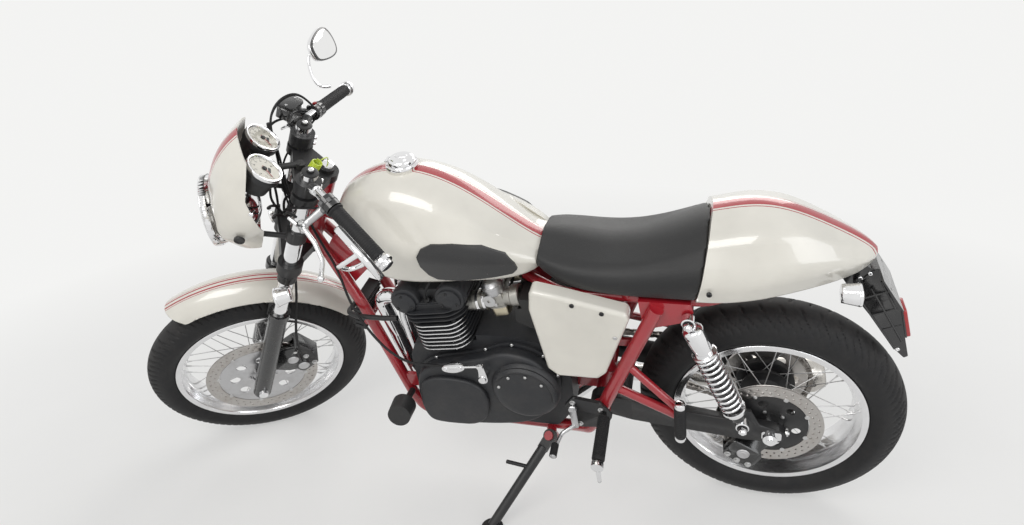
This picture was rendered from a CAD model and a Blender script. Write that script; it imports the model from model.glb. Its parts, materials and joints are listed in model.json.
import json
import logging
from dataclasses import dataclass
from enum import Enum
from math import acos, asin, atan2, cos, exp, hypot, pi, radians, sin
from typing import Callable, ClassVar, Dict, List, Optional, Sequence, Tuple

import bmesh
import bpy
from mathutils import Euler, Matrix, Vector


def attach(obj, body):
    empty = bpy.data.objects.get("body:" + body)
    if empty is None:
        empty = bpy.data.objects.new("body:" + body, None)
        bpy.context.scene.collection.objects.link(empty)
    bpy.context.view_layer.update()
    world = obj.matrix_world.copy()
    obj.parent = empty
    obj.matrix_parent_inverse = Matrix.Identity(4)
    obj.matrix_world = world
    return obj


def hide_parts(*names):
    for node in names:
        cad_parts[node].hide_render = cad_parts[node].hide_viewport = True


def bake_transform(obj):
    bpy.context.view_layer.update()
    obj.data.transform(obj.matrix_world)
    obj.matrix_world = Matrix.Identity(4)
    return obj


log = logging.getLogger("cafe_racer")
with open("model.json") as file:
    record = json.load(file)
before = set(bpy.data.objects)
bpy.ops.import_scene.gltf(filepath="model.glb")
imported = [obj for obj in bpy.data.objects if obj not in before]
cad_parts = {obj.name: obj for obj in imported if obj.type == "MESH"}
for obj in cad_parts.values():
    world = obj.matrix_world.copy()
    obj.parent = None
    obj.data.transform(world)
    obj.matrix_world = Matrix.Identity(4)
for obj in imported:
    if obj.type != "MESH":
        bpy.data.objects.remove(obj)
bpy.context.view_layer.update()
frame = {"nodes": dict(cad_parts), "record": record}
MM = 0.001
Pair = Tuple[float, float]
Triple = Tuple[float, float, float]
Colour = Triple
Obj = bpy.types.Object
Finish = bpy.types.Material
FRONT_AXLE: Pair = (-1490, 318.5)
REAR_AXLE: Pair = (0, 320)
CLAMP: Triple = (-1126.3, 95, 1032.4)
LEG_FORE = -58.17
LEG_SIDE = 95


class Body(Enum):
    """The bodies that pieces ride on."""

    CHASSIS = "chassis"
    STEERING = "steering"
    FRONT_WHEEL = "front_wheel"
    REAR_WHEEL = "rear_wheel"


class Stance:
    """Turns the upright drawing, in millimetres, into the parked machine of the frame."""

    LEAN = radians(13)
    PITCH = radians(-0.314828)
    STEER = radians(33)
    RAKE = radians(27)
    STEM_FOOT = Vector((-1587, 0, 0))

    def __init__(self) -> None:
        """Reads the rear axle's place from the record, which fixes the rest."""
        turn = Matrix.Rotation(self.LEAN, 4, "X") @ Matrix.Rotation(self.PITCH, 4, "Y")
        axle = next(j for j in frame["record"]["behaviour"]["joints"] if j["name"] == "rear_wheel_spin")
        shift = Vector(axle["pos_m"]) - turn @ Vector((0, 0, 0.320))
        self.chassis = Matrix.Translation(shift) @ turn @ Matrix.Diagonal((MM, MM, MM, 1))
        stem = Vector((sin(self.RAKE), 0, cos(self.RAKE)))
        swing = (Matrix.Translation(self.STEM_FOOT) @ Matrix.Rotation(self.STEER, 4, stem)
                 @ Matrix.Translation(-self.STEM_FOOT))
        self.steered = self.chassis @ swing

    def of(self, body: Body) -> Matrix:
        """Matrix from the upright drawing in mm to the frame, for a body."""
        return self.steered if body in (Body.STEERING, Body.FRONT_WHEEL) else self.chassis

    def drawing(self, body: Body) -> Tuple[Vector, Euler]:
        """Location and turn that take a frame point back to the drawing, in metres."""
        back = Matrix.Diagonal((MM, MM, MM, 1)) @ self.of(body).inverted()
        place, turn, _ = back.decompose()
        return place, turn.to_euler("XYZ")


STANCE = Stance()
RAKE_DIR = Vector((sin(Stance.RAKE), 0, cos(Stance.RAKE)))
RAKE_FORE = Vector((cos(Stance.RAKE), 0, -sin(Stance.RAKE)))


def vec(x: float, y: float, z: float) -> Vector:
    """Vector of three numbers."""
    return Vector((x, y, z))


def move(x: float, y: float, z: float) -> Matrix:
    """Matrix that moves by three numbers."""
    return Matrix.Translation((x, y, z))


def stem(a: float, y: float, h: float) -> Vector:
    """Point a behind the steering axis, y to the right and h up along it, in mm."""
    return Stance.STEM_FOOT + RAKE_FORE * a + vec(0, y, 0) + RAKE_DIR * h


# Modelling

class Bench:
    """Modelling moves that pieces share. Sizes are in mm of the upright drawing."""

    def __init__(self, body: Body) -> None:
        """Takes the body that the pieces made here ride on."""
        self.body = body
        self.parts: List[Obj] = []

    @staticmethod
    def only(*objects: Obj) -> None:
        """Selects these objects alone and makes the first one active."""
        if bpy.context.mode != "OBJECT":
            bpy.ops.object.mode_set(mode="OBJECT")
        bpy.ops.object.select_all(action="DESELECT")
        for obj in objects:
            obj.select_set(True)
        bpy.context.view_layer.objects.active = objects[0]

    def edit(self, obj: Obj, select: str = "SELECT") -> None:
        """Opens an object in edit mode with all or nothing of it selected."""
        self.only(obj)
        bpy.ops.object.mode_set(mode="EDIT")
        bpy.ops.mesh.select_mode(type="VERT")
        bpy.ops.mesh.select_all(action=select)

    @staticmethod
    def leave() -> None:
        """Back to object mode."""
        bpy.ops.object.mode_set(mode="OBJECT")

    @staticmethod
    def aim(at: Vector, along: Vector) -> Matrix:
        """Matrix that puts the local z axis along a direction at a point."""
        turn = Vector(along).normalized().to_track_quat("Z", "Y").to_matrix().to_4x4()
        return Matrix.Translation(Vector(at)) @ turn

    @staticmethod
    def across(x: float, y: float, z: float, side: int = 1) -> Matrix:
        """Matrix at a point whose z lies across the machine, to the right or with side -1 to the left."""
        return Bench.basis(vec(x, y, z), vec(1, 0, 0), vec(0, side, 0))

    @staticmethod
    def basis(at: Vector, x_dir: Vector, z_dir: Vector) -> Matrix:
        """Matrix with its origin at a point, its z along one direction and its x near another."""
        z = Vector(z_dir).normalized()
        y = z.cross(Vector(x_dir)).normalized()
        x = y.cross(z)
        turn = Matrix((x, y, z)).transposed().to_4x4()
        return Matrix.Translation(Vector(at)) @ turn

    def wire(self, name: str, points: Sequence[Triple]) -> Obj:
        """Closed chain of edges through points, as the profile that an operator then works on."""
        mesh = bpy.data.meshes.new(name)
        edges = [(i, (i + 1) % len(points)) for i in range(len(points))]
        mesh.from_pydata(points, edges, [])
        obj = bpy.data.objects.new(name, mesh)
        bpy.context.scene.collection.objects.link(obj)
        return obj

    def lathe(self, name: str, profile: Sequence[Pair], place: Matrix, steps: int = 64) -> Obj:
        """Turns a profile of (radius, height) points round the local z axis.

        Args:
            name: name of the new object.
            profile: points of the half section.
            place: matrix of the turned piece.
            steps: faces round the turn.

        Returns:
            The turned piece.
        """
        obj = self.wire(name, [(r, 0, z) for r, z in profile])
        self.edit(obj)
        bpy.ops.mesh.spin(steps=steps, angle=2 * pi, center=(0, 0, 0), axis=(0, 0, 1))
        bpy.ops.mesh.select_all(action="SELECT")
        bpy.ops.mesh.remove_doubles(threshold=0.005)
        bpy.ops.mesh.normals_make_consistent(inside=False)
        self.leave()
        obj.data.transform(place)
        return obj

    def cylinder(self, name: str, start: Vector, end: Vector, radius: float, tip: Optional[float] = None,
                 sides: int = 32, bevel: float = 0.6) -> Obj:
        """Round bar or cone between two points, with its rims bevelled."""
        start, end = Vector(start), Vector(end)
        length = (end - start).length
        bpy.ops.mesh.primitive_cone_add(vertices=sides, radius1=radius, radius2=radius if tip is None else tip,
                                        depth=length, location=(0, 0, 0))
        obj = bpy.context.active_object
        obj.name = name
        if bevel:
            self.rims(obj, bevel)
        obj.data.transform(self.aim((start + end) / 2, end - start))
        return obj

    def rims(self, obj: Obj, width: float, segments: int = 2, angle: float = 40) -> None:
        """Bevels every edge sharper than an angle."""
        mod = obj.modifiers.new("edges", "BEVEL")
        mod.width, mod.segments, mod.limit_method = width, segments, "ANGLE"
        mod.angle_limit = radians(angle)
        self.apply(obj)

    def apply(self, obj: Obj) -> None:
        """Applies all modifiers in order."""
        self.only(obj)
        for mod in list(obj.modifiers):
            bpy.ops.object.modifier_apply(modifier=mod.name)

    def box(self, name: str, size: Triple, place: Matrix, bevel: float = 1.0, segments: int = 2) -> Obj:
        """Block of a size at a place, with rounded edges."""
        bpy.ops.mesh.primitive_cube_add(size=1, location=(0, 0, 0))
        obj = bpy.context.active_object
        obj.name = name
        obj.data.transform(Matrix.Diagonal((*size, 1)))
        if bevel:
            self.rims(obj, bevel, segments)
        obj.data.transform(place)
        return obj

    def plate(self, name: str, outline: Sequence[Pair], thickness: float, place: Matrix,
              bevel: float = 0.8, holes: Sequence[Sequence[Pair]] = ()) -> Obj:
        """Flat plate of an outline in the local xy plane, extruded up by its thickness.

        Args:
            name: name of the new object.
            outline: corner points, in order.
            thickness: height of the extrusion.
            place: matrix of the plate.
            bevel: width of the edge bevel.
            holes: outlines of openings through the plate.

        Returns:
            The plate.
        """
        obj = self.wire(name, [(x, y, 0) for x, y in outline])
        if holes:
            mesh = bmesh.new()
            mesh.from_mesh(obj.data)
            for hole in holes:
                ring = [mesh.verts.new((x, y, 0)) for x, y in hole]
                for a, b in zip(ring, ring[1:] + ring[:1]):
                    mesh.edges.new((a, b))
            bmesh.ops.triangle_fill(mesh, use_beauty=True, edges=mesh.edges[:])
            mesh.to_mesh(obj.data)
            mesh.free()
        self.edit(obj)
        if not holes:
            bpy.ops.mesh.edge_face_add()
        bpy.ops.mesh.extrude_region_move(TRANSFORM_OT_translate={"value": (0, 0, thickness)})
        bpy.ops.mesh.select_all(action="SELECT")
        bpy.ops.mesh.normals_make_consistent(inside=False)
        self.leave()
        if bevel:
            self.rims(obj, bevel)
        obj.data.transform(place)
        return obj

    def hose(self, name: str, points: Sequence[Triple], radius: float, sides: int = 6, order: int = 3,
             resolution: int = 6, radii: Optional[Sequence[float]] = None) -> Obj:
        """Round cable, rod or wire along a smooth curve near its points.

        Args:
            name: name of the new object.
            points: control points of the curve.
            radius: radius of the cable.
            sides: a quarter turn's share of the faces round it, at least one.
            order: order of the curve, 3 for a smooth one.
            resolution: steps between two control points.
            radii: share of the radius at each point, where it changes.

        Returns:
            The cable as a mesh.
        """
        curve = bpy.data.curves.new(name, "CURVE")
        curve.dimensions = "3D"
        curve.bevel_depth, curve.bevel_resolution = radius, max(1, sides // 2 - 1)
        curve.resolution_u, curve.use_fill_caps = resolution, True
        spline = curve.splines.new("NURBS")
        spline.points.add(len(points) - 1)
        for k, (point, co) in enumerate(zip(spline.points, points)):
            point.co = (*co, 1)
            point.radius = radii[k] if radii else 1.0
        spline.order_u, spline.use_endpoint_u = min(order, len(points)), True
        obj = bpy.data.objects.new(name, curve)
        bpy.context.scene.collection.objects.link(obj)
        self.only(obj)
        bpy.ops.object.convert(target="MESH")
        return bpy.context.active_object

    def coil(self, name: str, place: Matrix, radius: float, wire: float, length: float, turns: float,
             steps: int = 20) -> Obj:
        """Coil spring along the local z axis, with its end turns drawn together."""
        points = []
        count = int(turns * steps)
        for k in range(count + 1):
            share = k / count
            squeeze = 0.5 - 0.5 * cos(pi * min(1, max(0, share)))
            height = length * (0.93 * share + 0.07 * squeeze)
            turn = 2 * pi * turns * share
            points.append(tuple(place @ vec(radius * cos(turn), radius * sin(turn), height)))
        return self.hose(name, points, wire, sides=6, order=3, resolution=1)

    def copies(self, obj: Obj, matrices: Sequence[Matrix]) -> List[Obj]:
        """The object moved by each matrix in turn; each copy has its own mesh, and the original goes."""
        out = []
        for matrix in matrices:
            twin = bpy.data.objects.new(obj.name, obj.data.copy())
            twin.data.transform(matrix)
            if matrix.determinant() < 0:
                twin.data.flip_normals()
            bpy.context.scene.collection.objects.link(twin)
            out.append(twin)
        bpy.data.objects.remove(obj)
        return out

    def join(self, name: str, parts: Sequence[Obj]) -> Obj:
        """Joins meshes into one object, with the materials of each kept."""
        self.only(*parts)
        if len(parts) > 1:
            bpy.ops.object.join()
        whole = bpy.context.active_object
        whole.name = name
        whole.data.name = name
        return whole

    def paint(self, obj: Obj, material: Finish, angle: float = 35) -> Obj:
        """Gives a mesh one material and smooth shading up to an angle."""
        obj.data.materials.clear()
        obj.data.materials.append(material)
        self.only(obj)
        bpy.ops.object.shade_smooth_by_angle(angle=radians(angle))
        return obj

    def put(self, obj: Obj, material: Finish, angle: float = 35) -> Obj:
        """Paints a part and keeps it for the piece that close() or dress() makes."""
        self.parts.append(self.paint(obj, material, angle))
        return obj

    def turn(self, name: str, profile: Sequence[Pair], place: Matrix, steps: int, material: Finish,
             angle: float = 35) -> None:
        """Puts in a turned piece."""
        self.put(self.lathe(name, profile, place, steps), material, angle)

    def screw(self, at: Vector, out: Vector, material: Finish, radius: float = 4.5, height: float = 3.2,
              sides: int = 20, angle: float = 35) -> None:
        """Puts in a domed socket screw that stands on a surface and points out of it."""
        inner = radius * 0.5
        profile = [(0, height * 0.45), (inner, height * 0.45), (inner, height), (radius * 0.8, height),
                   (radius, height * 0.7), (radius, -0.6), (0, -0.6)]
        self.turn("screw", profile, self.aim(at, out), sides, material, angle)

    def hexagon(self, at: Vector, out: Vector, material: Finish, radius: float, height: float) -> None:
        """Puts in a hexagon head on its washer."""
        at, out = Vector(at), Vector(out).normalized()
        for name, low, high, size, sides, bevel in (("hex", 1.2, height + 1.2, radius, 6, 0.7),
                                                    ("washer", -0.5, 1.4, radius * 1.35, 24, 0.3)):
            self.put(self.cylinder(name, at + out * low, at + out * high, size, sides=sides, bevel=bevel), material, 30)

    def close(self, name: str, slot: str, *nodes: str) -> Obj:
        """Joins the parts kept so far into one finished piece."""
        parts, self.parts = self.parts, []
        return self.finish(self.join(name, parts), slot, *nodes)

    def finish(self, obj: Obj, slot: str, *nodes: str) -> Obj:
        """Puts a piece in its place in the frame and says what it rides on, stands for and is made of.

        Args:
            obj: finished piece, in the drawing.
            slot: the record's material slot.
            nodes: CAD nodes that it replaces.

        Returns:
            The piece.
        """
        obj.data.transform(obj.matrix_basis)
        obj.matrix_basis = Matrix()
        obj.data.transform(STANCE.of(self.body))
        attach(obj, self.body.value)
        if nodes:
            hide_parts(*nodes)
        log.info("%s: %d faces", obj.name, len(obj.data.polygons))
        return obj

    def draft(self, node: str, name: str, merge: float = 1e-5) -> Obj:
        """Copy of a CAD node's mesh with its doubled vertices merged, taken back to the drawing."""
        source = frame["nodes"][node]
        mesh = source.data.copy()
        obj = bpy.data.objects.new(name, mesh)
        bpy.context.scene.collection.objects.link(obj)
        mesh.transform(STANCE.of(self.body).inverted() @ source.matrix_world)
        self.edit(obj)
        bpy.ops.mesh.remove_doubles(threshold=merge / MM)
        self.leave()
        return obj

    def dress(self, node: str, name: str, finishes: Sequence[Tuple[Callable[[Vector], bool], Finish]], rest: Finish,
              slot: str) -> Obj:
        """Puts a finished copy of a CAD node in its place, together with the parts kept so far.

        Args:
            node: the CAD node.
            name: name of the new object.
            finishes: tests of a face's centre in the drawing, each with the finish that it brings. The first that
                holds wins.
            rest: finish of the other faces.
            slot: the record's material slot.

        Returns:
            The new object.
        """
        obj = self.paint(self.draft(node, name), rest, 35)
        for _, material in finishes:
            obj.data.materials.append(material)
        for face in obj.data.polygons:
            holding = [k for k, (test, _) in enumerate(finishes) if test(face.center)]
            face.material_index = holding[0] + 1 if holding else 0
        self.parts.insert(0, obj)
        return self.close(name, slot, node)


# Finishes

class Wire:
    """A shader socket that Python operators work on."""

    def __init__(self, sheet: "Sheet", socket: bpy.types.NodeSocket) -> None:
        """Wraps a socket of a sheet of nodes."""
        self.sheet, self.socket = sheet, socket

    def _maths(self, operation: str, *others: object, first: bool = True) -> "Wire":
        """Adds one Math node for an operation."""
        values = [self, *others] if first else [*others, self]
        node = self.sheet.add("ShaderNodeMath", {"operation": operation}, dict(enumerate(values)))
        return Wire(self.sheet, node.outputs[0])

    def __add__(self, other: object) -> "Wire":
        """Sum."""
        return self._maths("ADD", other)

    __radd__ = __add__

    def __mul__(self, other: object) -> "Wire":
        """Product."""
        return self._maths("MULTIPLY", other)

    __rmul__ = __mul__

    def __sub__(self, other: object) -> "Wire":
        """Difference."""
        return self._maths("SUBTRACT", other)

    def __rsub__(self, other: object) -> "Wire":
        """Difference from a number."""
        return self._maths("SUBTRACT", other, first=False)

    def __pow__(self, other: object) -> "Wire":
        """Power."""
        return self._maths("POWER", other)

    def __abs__(self) -> "Wire":
        """Size without its sign."""
        return self._maths("ABSOLUTE")

    def __lt__(self, other: object) -> "Wire":
        """1 where the value is below another."""
        return self._maths("LESS_THAN", other)

    def __gt__(self, other: object) -> "Wire":
        """1 where the value is above another."""
        return self._maths("GREATER_THAN", other)

    def sine(self) -> "Wire":
        """Sine of the value."""
        return self._maths("SINE")

    def clipped(self) -> "Wire":
        """The value held between 0 and 1."""
        node = self.sheet.add("ShaderNodeClamp", {}, {0: self})
        return Wire(self.sheet, node.outputs[0])

    def ramp(self, low: float, high: float) -> "Wire":
        """0 below low, 1 above high and straight between."""
        node = self.sheet.add("ShaderNodeMapRange", {"clamp": True}, {"Value": self, "From Min": low, "From Max": high})
        return Wire(self.sheet, node.outputs[0])


class Sheet:
    """One material's sheet of nodes."""

    def __init__(self, name: str) -> None:
        """Makes an empty material."""
        self.material = bpy.data.materials.new(name)
        self.material.use_nodes = True
        self.tree = self.material.node_tree
        self.tree.nodes.clear()

    def add(self, kind: str, settings: Dict[str, object], values: Dict[object, object]) -> bpy.types.Node:
        """Adds a node.

        Args:
            kind: type of the node.
            settings: attributes that are set first.
            values: sockets by name or number, each a link or a constant.

        Returns:
            The new node.
        """
        node = self.tree.nodes.new(kind)
        for key, value in settings.items():
            setattr(node, key, value)
        for key, value in values.items():
            socket = node.inputs[key]
            if isinstance(value, Wire):
                self.tree.links.new(value.socket, socket)
            elif isinstance(value, bpy.types.NodeSocket):
                self.tree.links.new(value, socket)
            elif isinstance(value, (tuple, list)) and socket.type == "RGBA":
                socket.default_value = (*value[:3], 1)
            else:
                socket.default_value = value
        return node

    def place(self, body: Optional[Body] = None, scale: Triple = (1, 1, 1)) -> bpy.types.NodeSocket:
        """Object coordinates, turned back to the upright drawing when a body is given."""
        coordinate = self.add("ShaderNodeTexCoord", {}, {}).outputs["Object"]
        if body is None and scale == (1, 1, 1):
            return coordinate
        place, turn = STANCE.drawing(body) if body else (Vector(), Euler())
        node = self.add("ShaderNodeMapping", {}, {"Vector": coordinate, "Location": place, "Rotation": turn})
        if scale == (1, 1, 1):
            return node.outputs[0]
        return self.add("ShaderNodeMapping", {}, {"Vector": node.outputs[0], "Scale": scale}).outputs[0]

    def axes(self, body: Body) -> Tuple[Wire, Wire, Wire]:
        """x, y and z of the upright drawing, in metres."""
        split = self.add("ShaderNodeSeparateXYZ", {}, {0: self.place(body)})
        return tuple(Wire(self, split.outputs[k]) for k in range(3))

    def noise(self, scale: float, detail: float = 4, rough: float = 0.55,
              vector: Optional[bpy.types.NodeSocket] = None) -> Wire:
        """Noise of a scale per metre."""
        node = self.add("ShaderNodeTexNoise", {}, {"Vector": vector or self.place(), "Scale": scale,
                                                   "Detail": detail, "Roughness": rough})
        return Wire(self, node.outputs[0])

    def cells(self, scale: float, feature: str = "F1", vector: Optional[bpy.types.NodeSocket] = None) -> Wire:
        """Distance to cells of a scale per metre."""
        node = self.add("ShaderNodeTexVoronoi", {"feature": feature},
                        {"Vector": vector or self.place(), "Scale": scale})
        return Wire(self, node.outputs["Distance"])

    def blend(self, mask: object, low: object, high: object) -> bpy.types.NodeSocket:
        """Colour that goes from low to high as a mask goes from 0 to 1."""
        node = self.add("ShaderNodeMix", {"data_type": "RGBA"}, {0: mask, 6: low, 7: high})
        return node.outputs[2]

    def bump(self, height: Wire, strength: float, depth: float,
             normal: Optional[bpy.types.NodeSocket] = None) -> bpy.types.NodeSocket:
        """Normal that follows a height, over a depth in metres."""
        values = {"Strength": strength, "Distance": depth, "Height": height}
        if normal:
            values["Normal"] = normal
        return self.add("ShaderNodeBump", {}, values).outputs[0]

    def close(self, **values: object) -> Finish:
        """Ends the sheet with a principled shader; names use _ for a space."""
        sockets = {key.replace("_", " "): value for key, value in values.items()}
        shader = self.add("ShaderNodeBsdfPrincipled", {}, sockets)
        self.add("ShaderNodeOutputMaterial", {}, {0: shader.outputs[0]})
        return self.material


@dataclass(frozen=True)
class Stripe:
    """Bands along the machine that mirror about its middle: from and to, in mm, and the colour."""

    inner: float
    outer: float
    colour: Colour


@dataclass(frozen=True)
class Lacquer:
    """Sprayed and cleared paint, with settled dust and a trace of orange peel."""

    name: str
    colour: Colour
    body: Body = Body.CHASSIS
    rough: float = 0.32
    coat: float = 1.0
    peel: float = 0.25
    dust: float = 0.1
    stripes: Tuple[Stripe, ...] = ()

    def make(self) -> Finish:
        """Builds the material."""
        sheet = Sheet(self.name)
        cloud = sheet.noise(7, 3)
        deep = tuple(c * 0.9 for c in self.colour)
        colour: object = sheet.blend(cloud.ramp(0.35, 0.7), self.colour, deep)
        side = abs(sheet.axes(self.body)[1])
        for stripe in self.stripes:
            mask = (side > stripe.inner * MM) * (side < stripe.outer * MM)
            worn = mask * (1 - sheet.noise(160, 4).ramp(0.78, 0.83) * 0.5)
            colour = sheet.blend(worn, colour, stripe.colour)
        grime = sheet.noise(28, 6, 0.7).ramp(0.5, 0.85)
        colour = sheet.blend(grime * self.dust * 0.35, colour, (0.42, 0.37, 0.3))
        rough = sheet.noise(60, 5, 0.65) * 0.12 + (self.rough - 0.06) + grime * (0.16 * self.dust)
        peel = sheet.bump(sheet.noise(420, 2), self.peel, 0.00025)
        return sheet.close(Base_Color=colour, Roughness=rough, Normal=peel, Coat_Weight=self.coat,
                           Coat_Roughness=0.04, IOR=1.5)


@dataclass(frozen=True)
class Metal:
    """Bare or plated metal: its tint, how rough it is, and the grain that it was left with."""

    name: str
    colour: Colour
    rough: float = 0.15
    grain: float = 0.2
    grain_scale: float = 300
    stain: float = 0.3
    stain_colour: Colour = (0.16, 0.13, 0.1)
    cast: float = 0.0
    stretch: Triple = (1, 1, 1)

    def make(self) -> Finish:
        """Builds the material."""
        sheet = Sheet(self.name)
        vector = sheet.place(None, self.stretch) if self.stretch != (1, 1, 1) else None
        fine = sheet.noise(self.grain_scale, 4, 0.7, vector)
        patch = sheet.noise(22, 6, 0.72).ramp(0.48, 0.86)
        colour = sheet.blend(patch * self.stain, self.colour, self.stain_colour)
        rough = fine * (0.25 * self.grain) + (self.rough - 0.1 * self.grain) + patch * (0.3 * self.stain)
        normal = sheet.bump(fine, 0.12 + 0.5 * self.grain, 0.0002)
        if self.cast:
            normal = sheet.bump(sheet.noise(900, 3, 0.6), self.cast, 0.0006, normal)
        return sheet.close(Base_Color=colour, Metallic=1.0, Roughness=rough.clipped(), Normal=normal)


@dataclass(frozen=True)
class Enamel:
    """Black or coloured satin coating on castings, a little dusty and worn."""

    name: str
    colour: Colour
    rough: float = 0.42
    texture: float = 0.35
    scale: float = 700
    dust: float = 0.35
    coat: float = 0.0
    metallic: float = 0.0

    def make(self) -> Finish:
        """Builds the material."""
        sheet = Sheet(self.name)
        dusty = sheet.noise(18, 6, 0.7).ramp(0.45, 0.9)
        speck = sheet.noise(240, 3).ramp(0.66, 0.8)
        colour = sheet.blend(dusty * (0.22 * self.dust), self.colour, (0.3, 0.27, 0.23))
        colour = sheet.blend(speck * (0.2 * self.dust), colour, (0.26, 0.24, 0.21))
        rough = sheet.noise(90, 4) * 0.16 + (self.rough - 0.08) + dusty * (0.2 * self.dust)
        normal = sheet.bump(sheet.noise(self.scale, 3, 0.6), self.texture, 0.0004)
        return sheet.close(Base_Color=colour, Roughness=rough.clipped(), Normal=normal, Coat_Weight=self.coat,
                           Coat_Roughness=0.15, Metallic=self.metallic)


@dataclass(frozen=True)
class Gum:
    """Rubber of tyres, grips and boots, with road dust in its pores."""

    name: str
    colour: Colour = (0.013, 0.013, 0.014)
    rough: float = 0.58
    dust: float = 0.25
    wheel: Optional[Tuple[Body, float, float]] = None

    def make(self) -> Finish:
        """Builds the material; a tyre is greyer towards its tread."""
        sheet = Sheet(self.name)
        cloud = sheet.noise(35, 6, 0.7).ramp(0.4, 0.85)
        colour: object = sheet.blend(cloud * (0.3 * self.dust), self.colour, (0.17, 0.15, 0.13))
        rough = sheet.noise(150, 5, 0.7) * 0.2 + (self.rough - 0.1) + cloud * (0.1 * self.dust)
        if self.wheel:
            body, axle_x, axle_z = self.wheel
            x, _, z = sheet.axes(body)
            radius = ((x - axle_x) ** 2 + (z - axle_z) ** 2) ** 0.5
            worn = radius.ramp(0.292, 0.316) * sheet.noise(60, 5, 0.7).ramp(0.3, 0.75)
            colour = sheet.blend(worn * 0.35, colour, (0.07, 0.064, 0.06))
            rough = rough + worn * 0.12
            rings = (radius * 2600).sine() * (radius.ramp(0.24, 0.262) - radius.ramp(0.262, 0.275))
            normal = sheet.bump(rings, 0.10, 0.0004, sheet.bump(sheet.noise(800, 3), 0.25, 0.0004))
        else:
            normal = sheet.bump(sheet.noise(1200, 3), 0.3, 0.0003)
        return sheet.close(Base_Color=colour, Roughness=rough.clipped(), Normal=normal, IOR=1.38)


@dataclass(frozen=True)
class Hide:
    """Grained black seat vinyl."""

    name: str
    colour: Colour = (0.009, 0.009, 0.0095)

    def make(self) -> Finish:
        """Builds the material: pebbled grain over soft creases."""
        sheet = Sheet(self.name)
        grain = sheet.cells(620, "SMOOTH_F1")
        fine = sheet.cells(1500)
        worn = sheet.noise(6, 4).ramp(0.42, 0.75)
        dusty = sheet.noise(40, 6, 0.7).ramp(0.55, 0.9)
        colour = sheet.blend(worn * 0.5, self.colour, (0.014, 0.014, 0.0145))
        colour = sheet.blend(dusty * 0.06, colour, (0.2, 0.18, 0.15))
        rough = grain * 0.2 + 0.46 - worn * 0.06 + dusty * 0.12
        crease = sheet.bump(sheet.noise(14, 2, 0.5), 0.12, 0.0025)
        normal = sheet.bump(grain * 0.8 + fine * 0.35, 0.45, 0.0007, crease)
        return sheet.close(Base_Color=colour, Roughness=rough.clipped(), Normal=normal, Sheen_Weight=0.08)


@dataclass(frozen=True)
class Lens:
    """Glass or clear plastic over a lamp or dial, tinted for a coloured lamp."""

    name: str
    colour: Colour = (0.95, 0.95, 0.95)
    rough: float = 0.04
    transmission: float = 0.92
    ribs: float = 0.0
    metallic: float = 0.0

    def make(self) -> Finish:
        """Builds the material."""
        sheet = Sheet(self.name)
        smear = sheet.noise(90, 5, 0.7)
        colour = sheet.blend(smear.ramp(0.4, 0.8) * 0.2, self.colour, tuple(c * 0.8 for c in self.colour))
        rough = smear * 0.06 + self.rough
        height = sheet.noise(240, 2)
        if self.ribs:
            height = (sheet.axes(Body.STEERING)[1] * self.ribs).sine() * 0.5 + height * 0.1
        normal = sheet.bump(height, 0.25 if self.ribs else 0.06, 0.001)
        return sheet.close(Base_Color=colour, Roughness=rough, Normal=normal, Transmission_Weight=self.transmission,
                           Metallic=self.metallic, Coat_Weight=0.8, Coat_Roughness=0.03, IOR=1.45)


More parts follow.
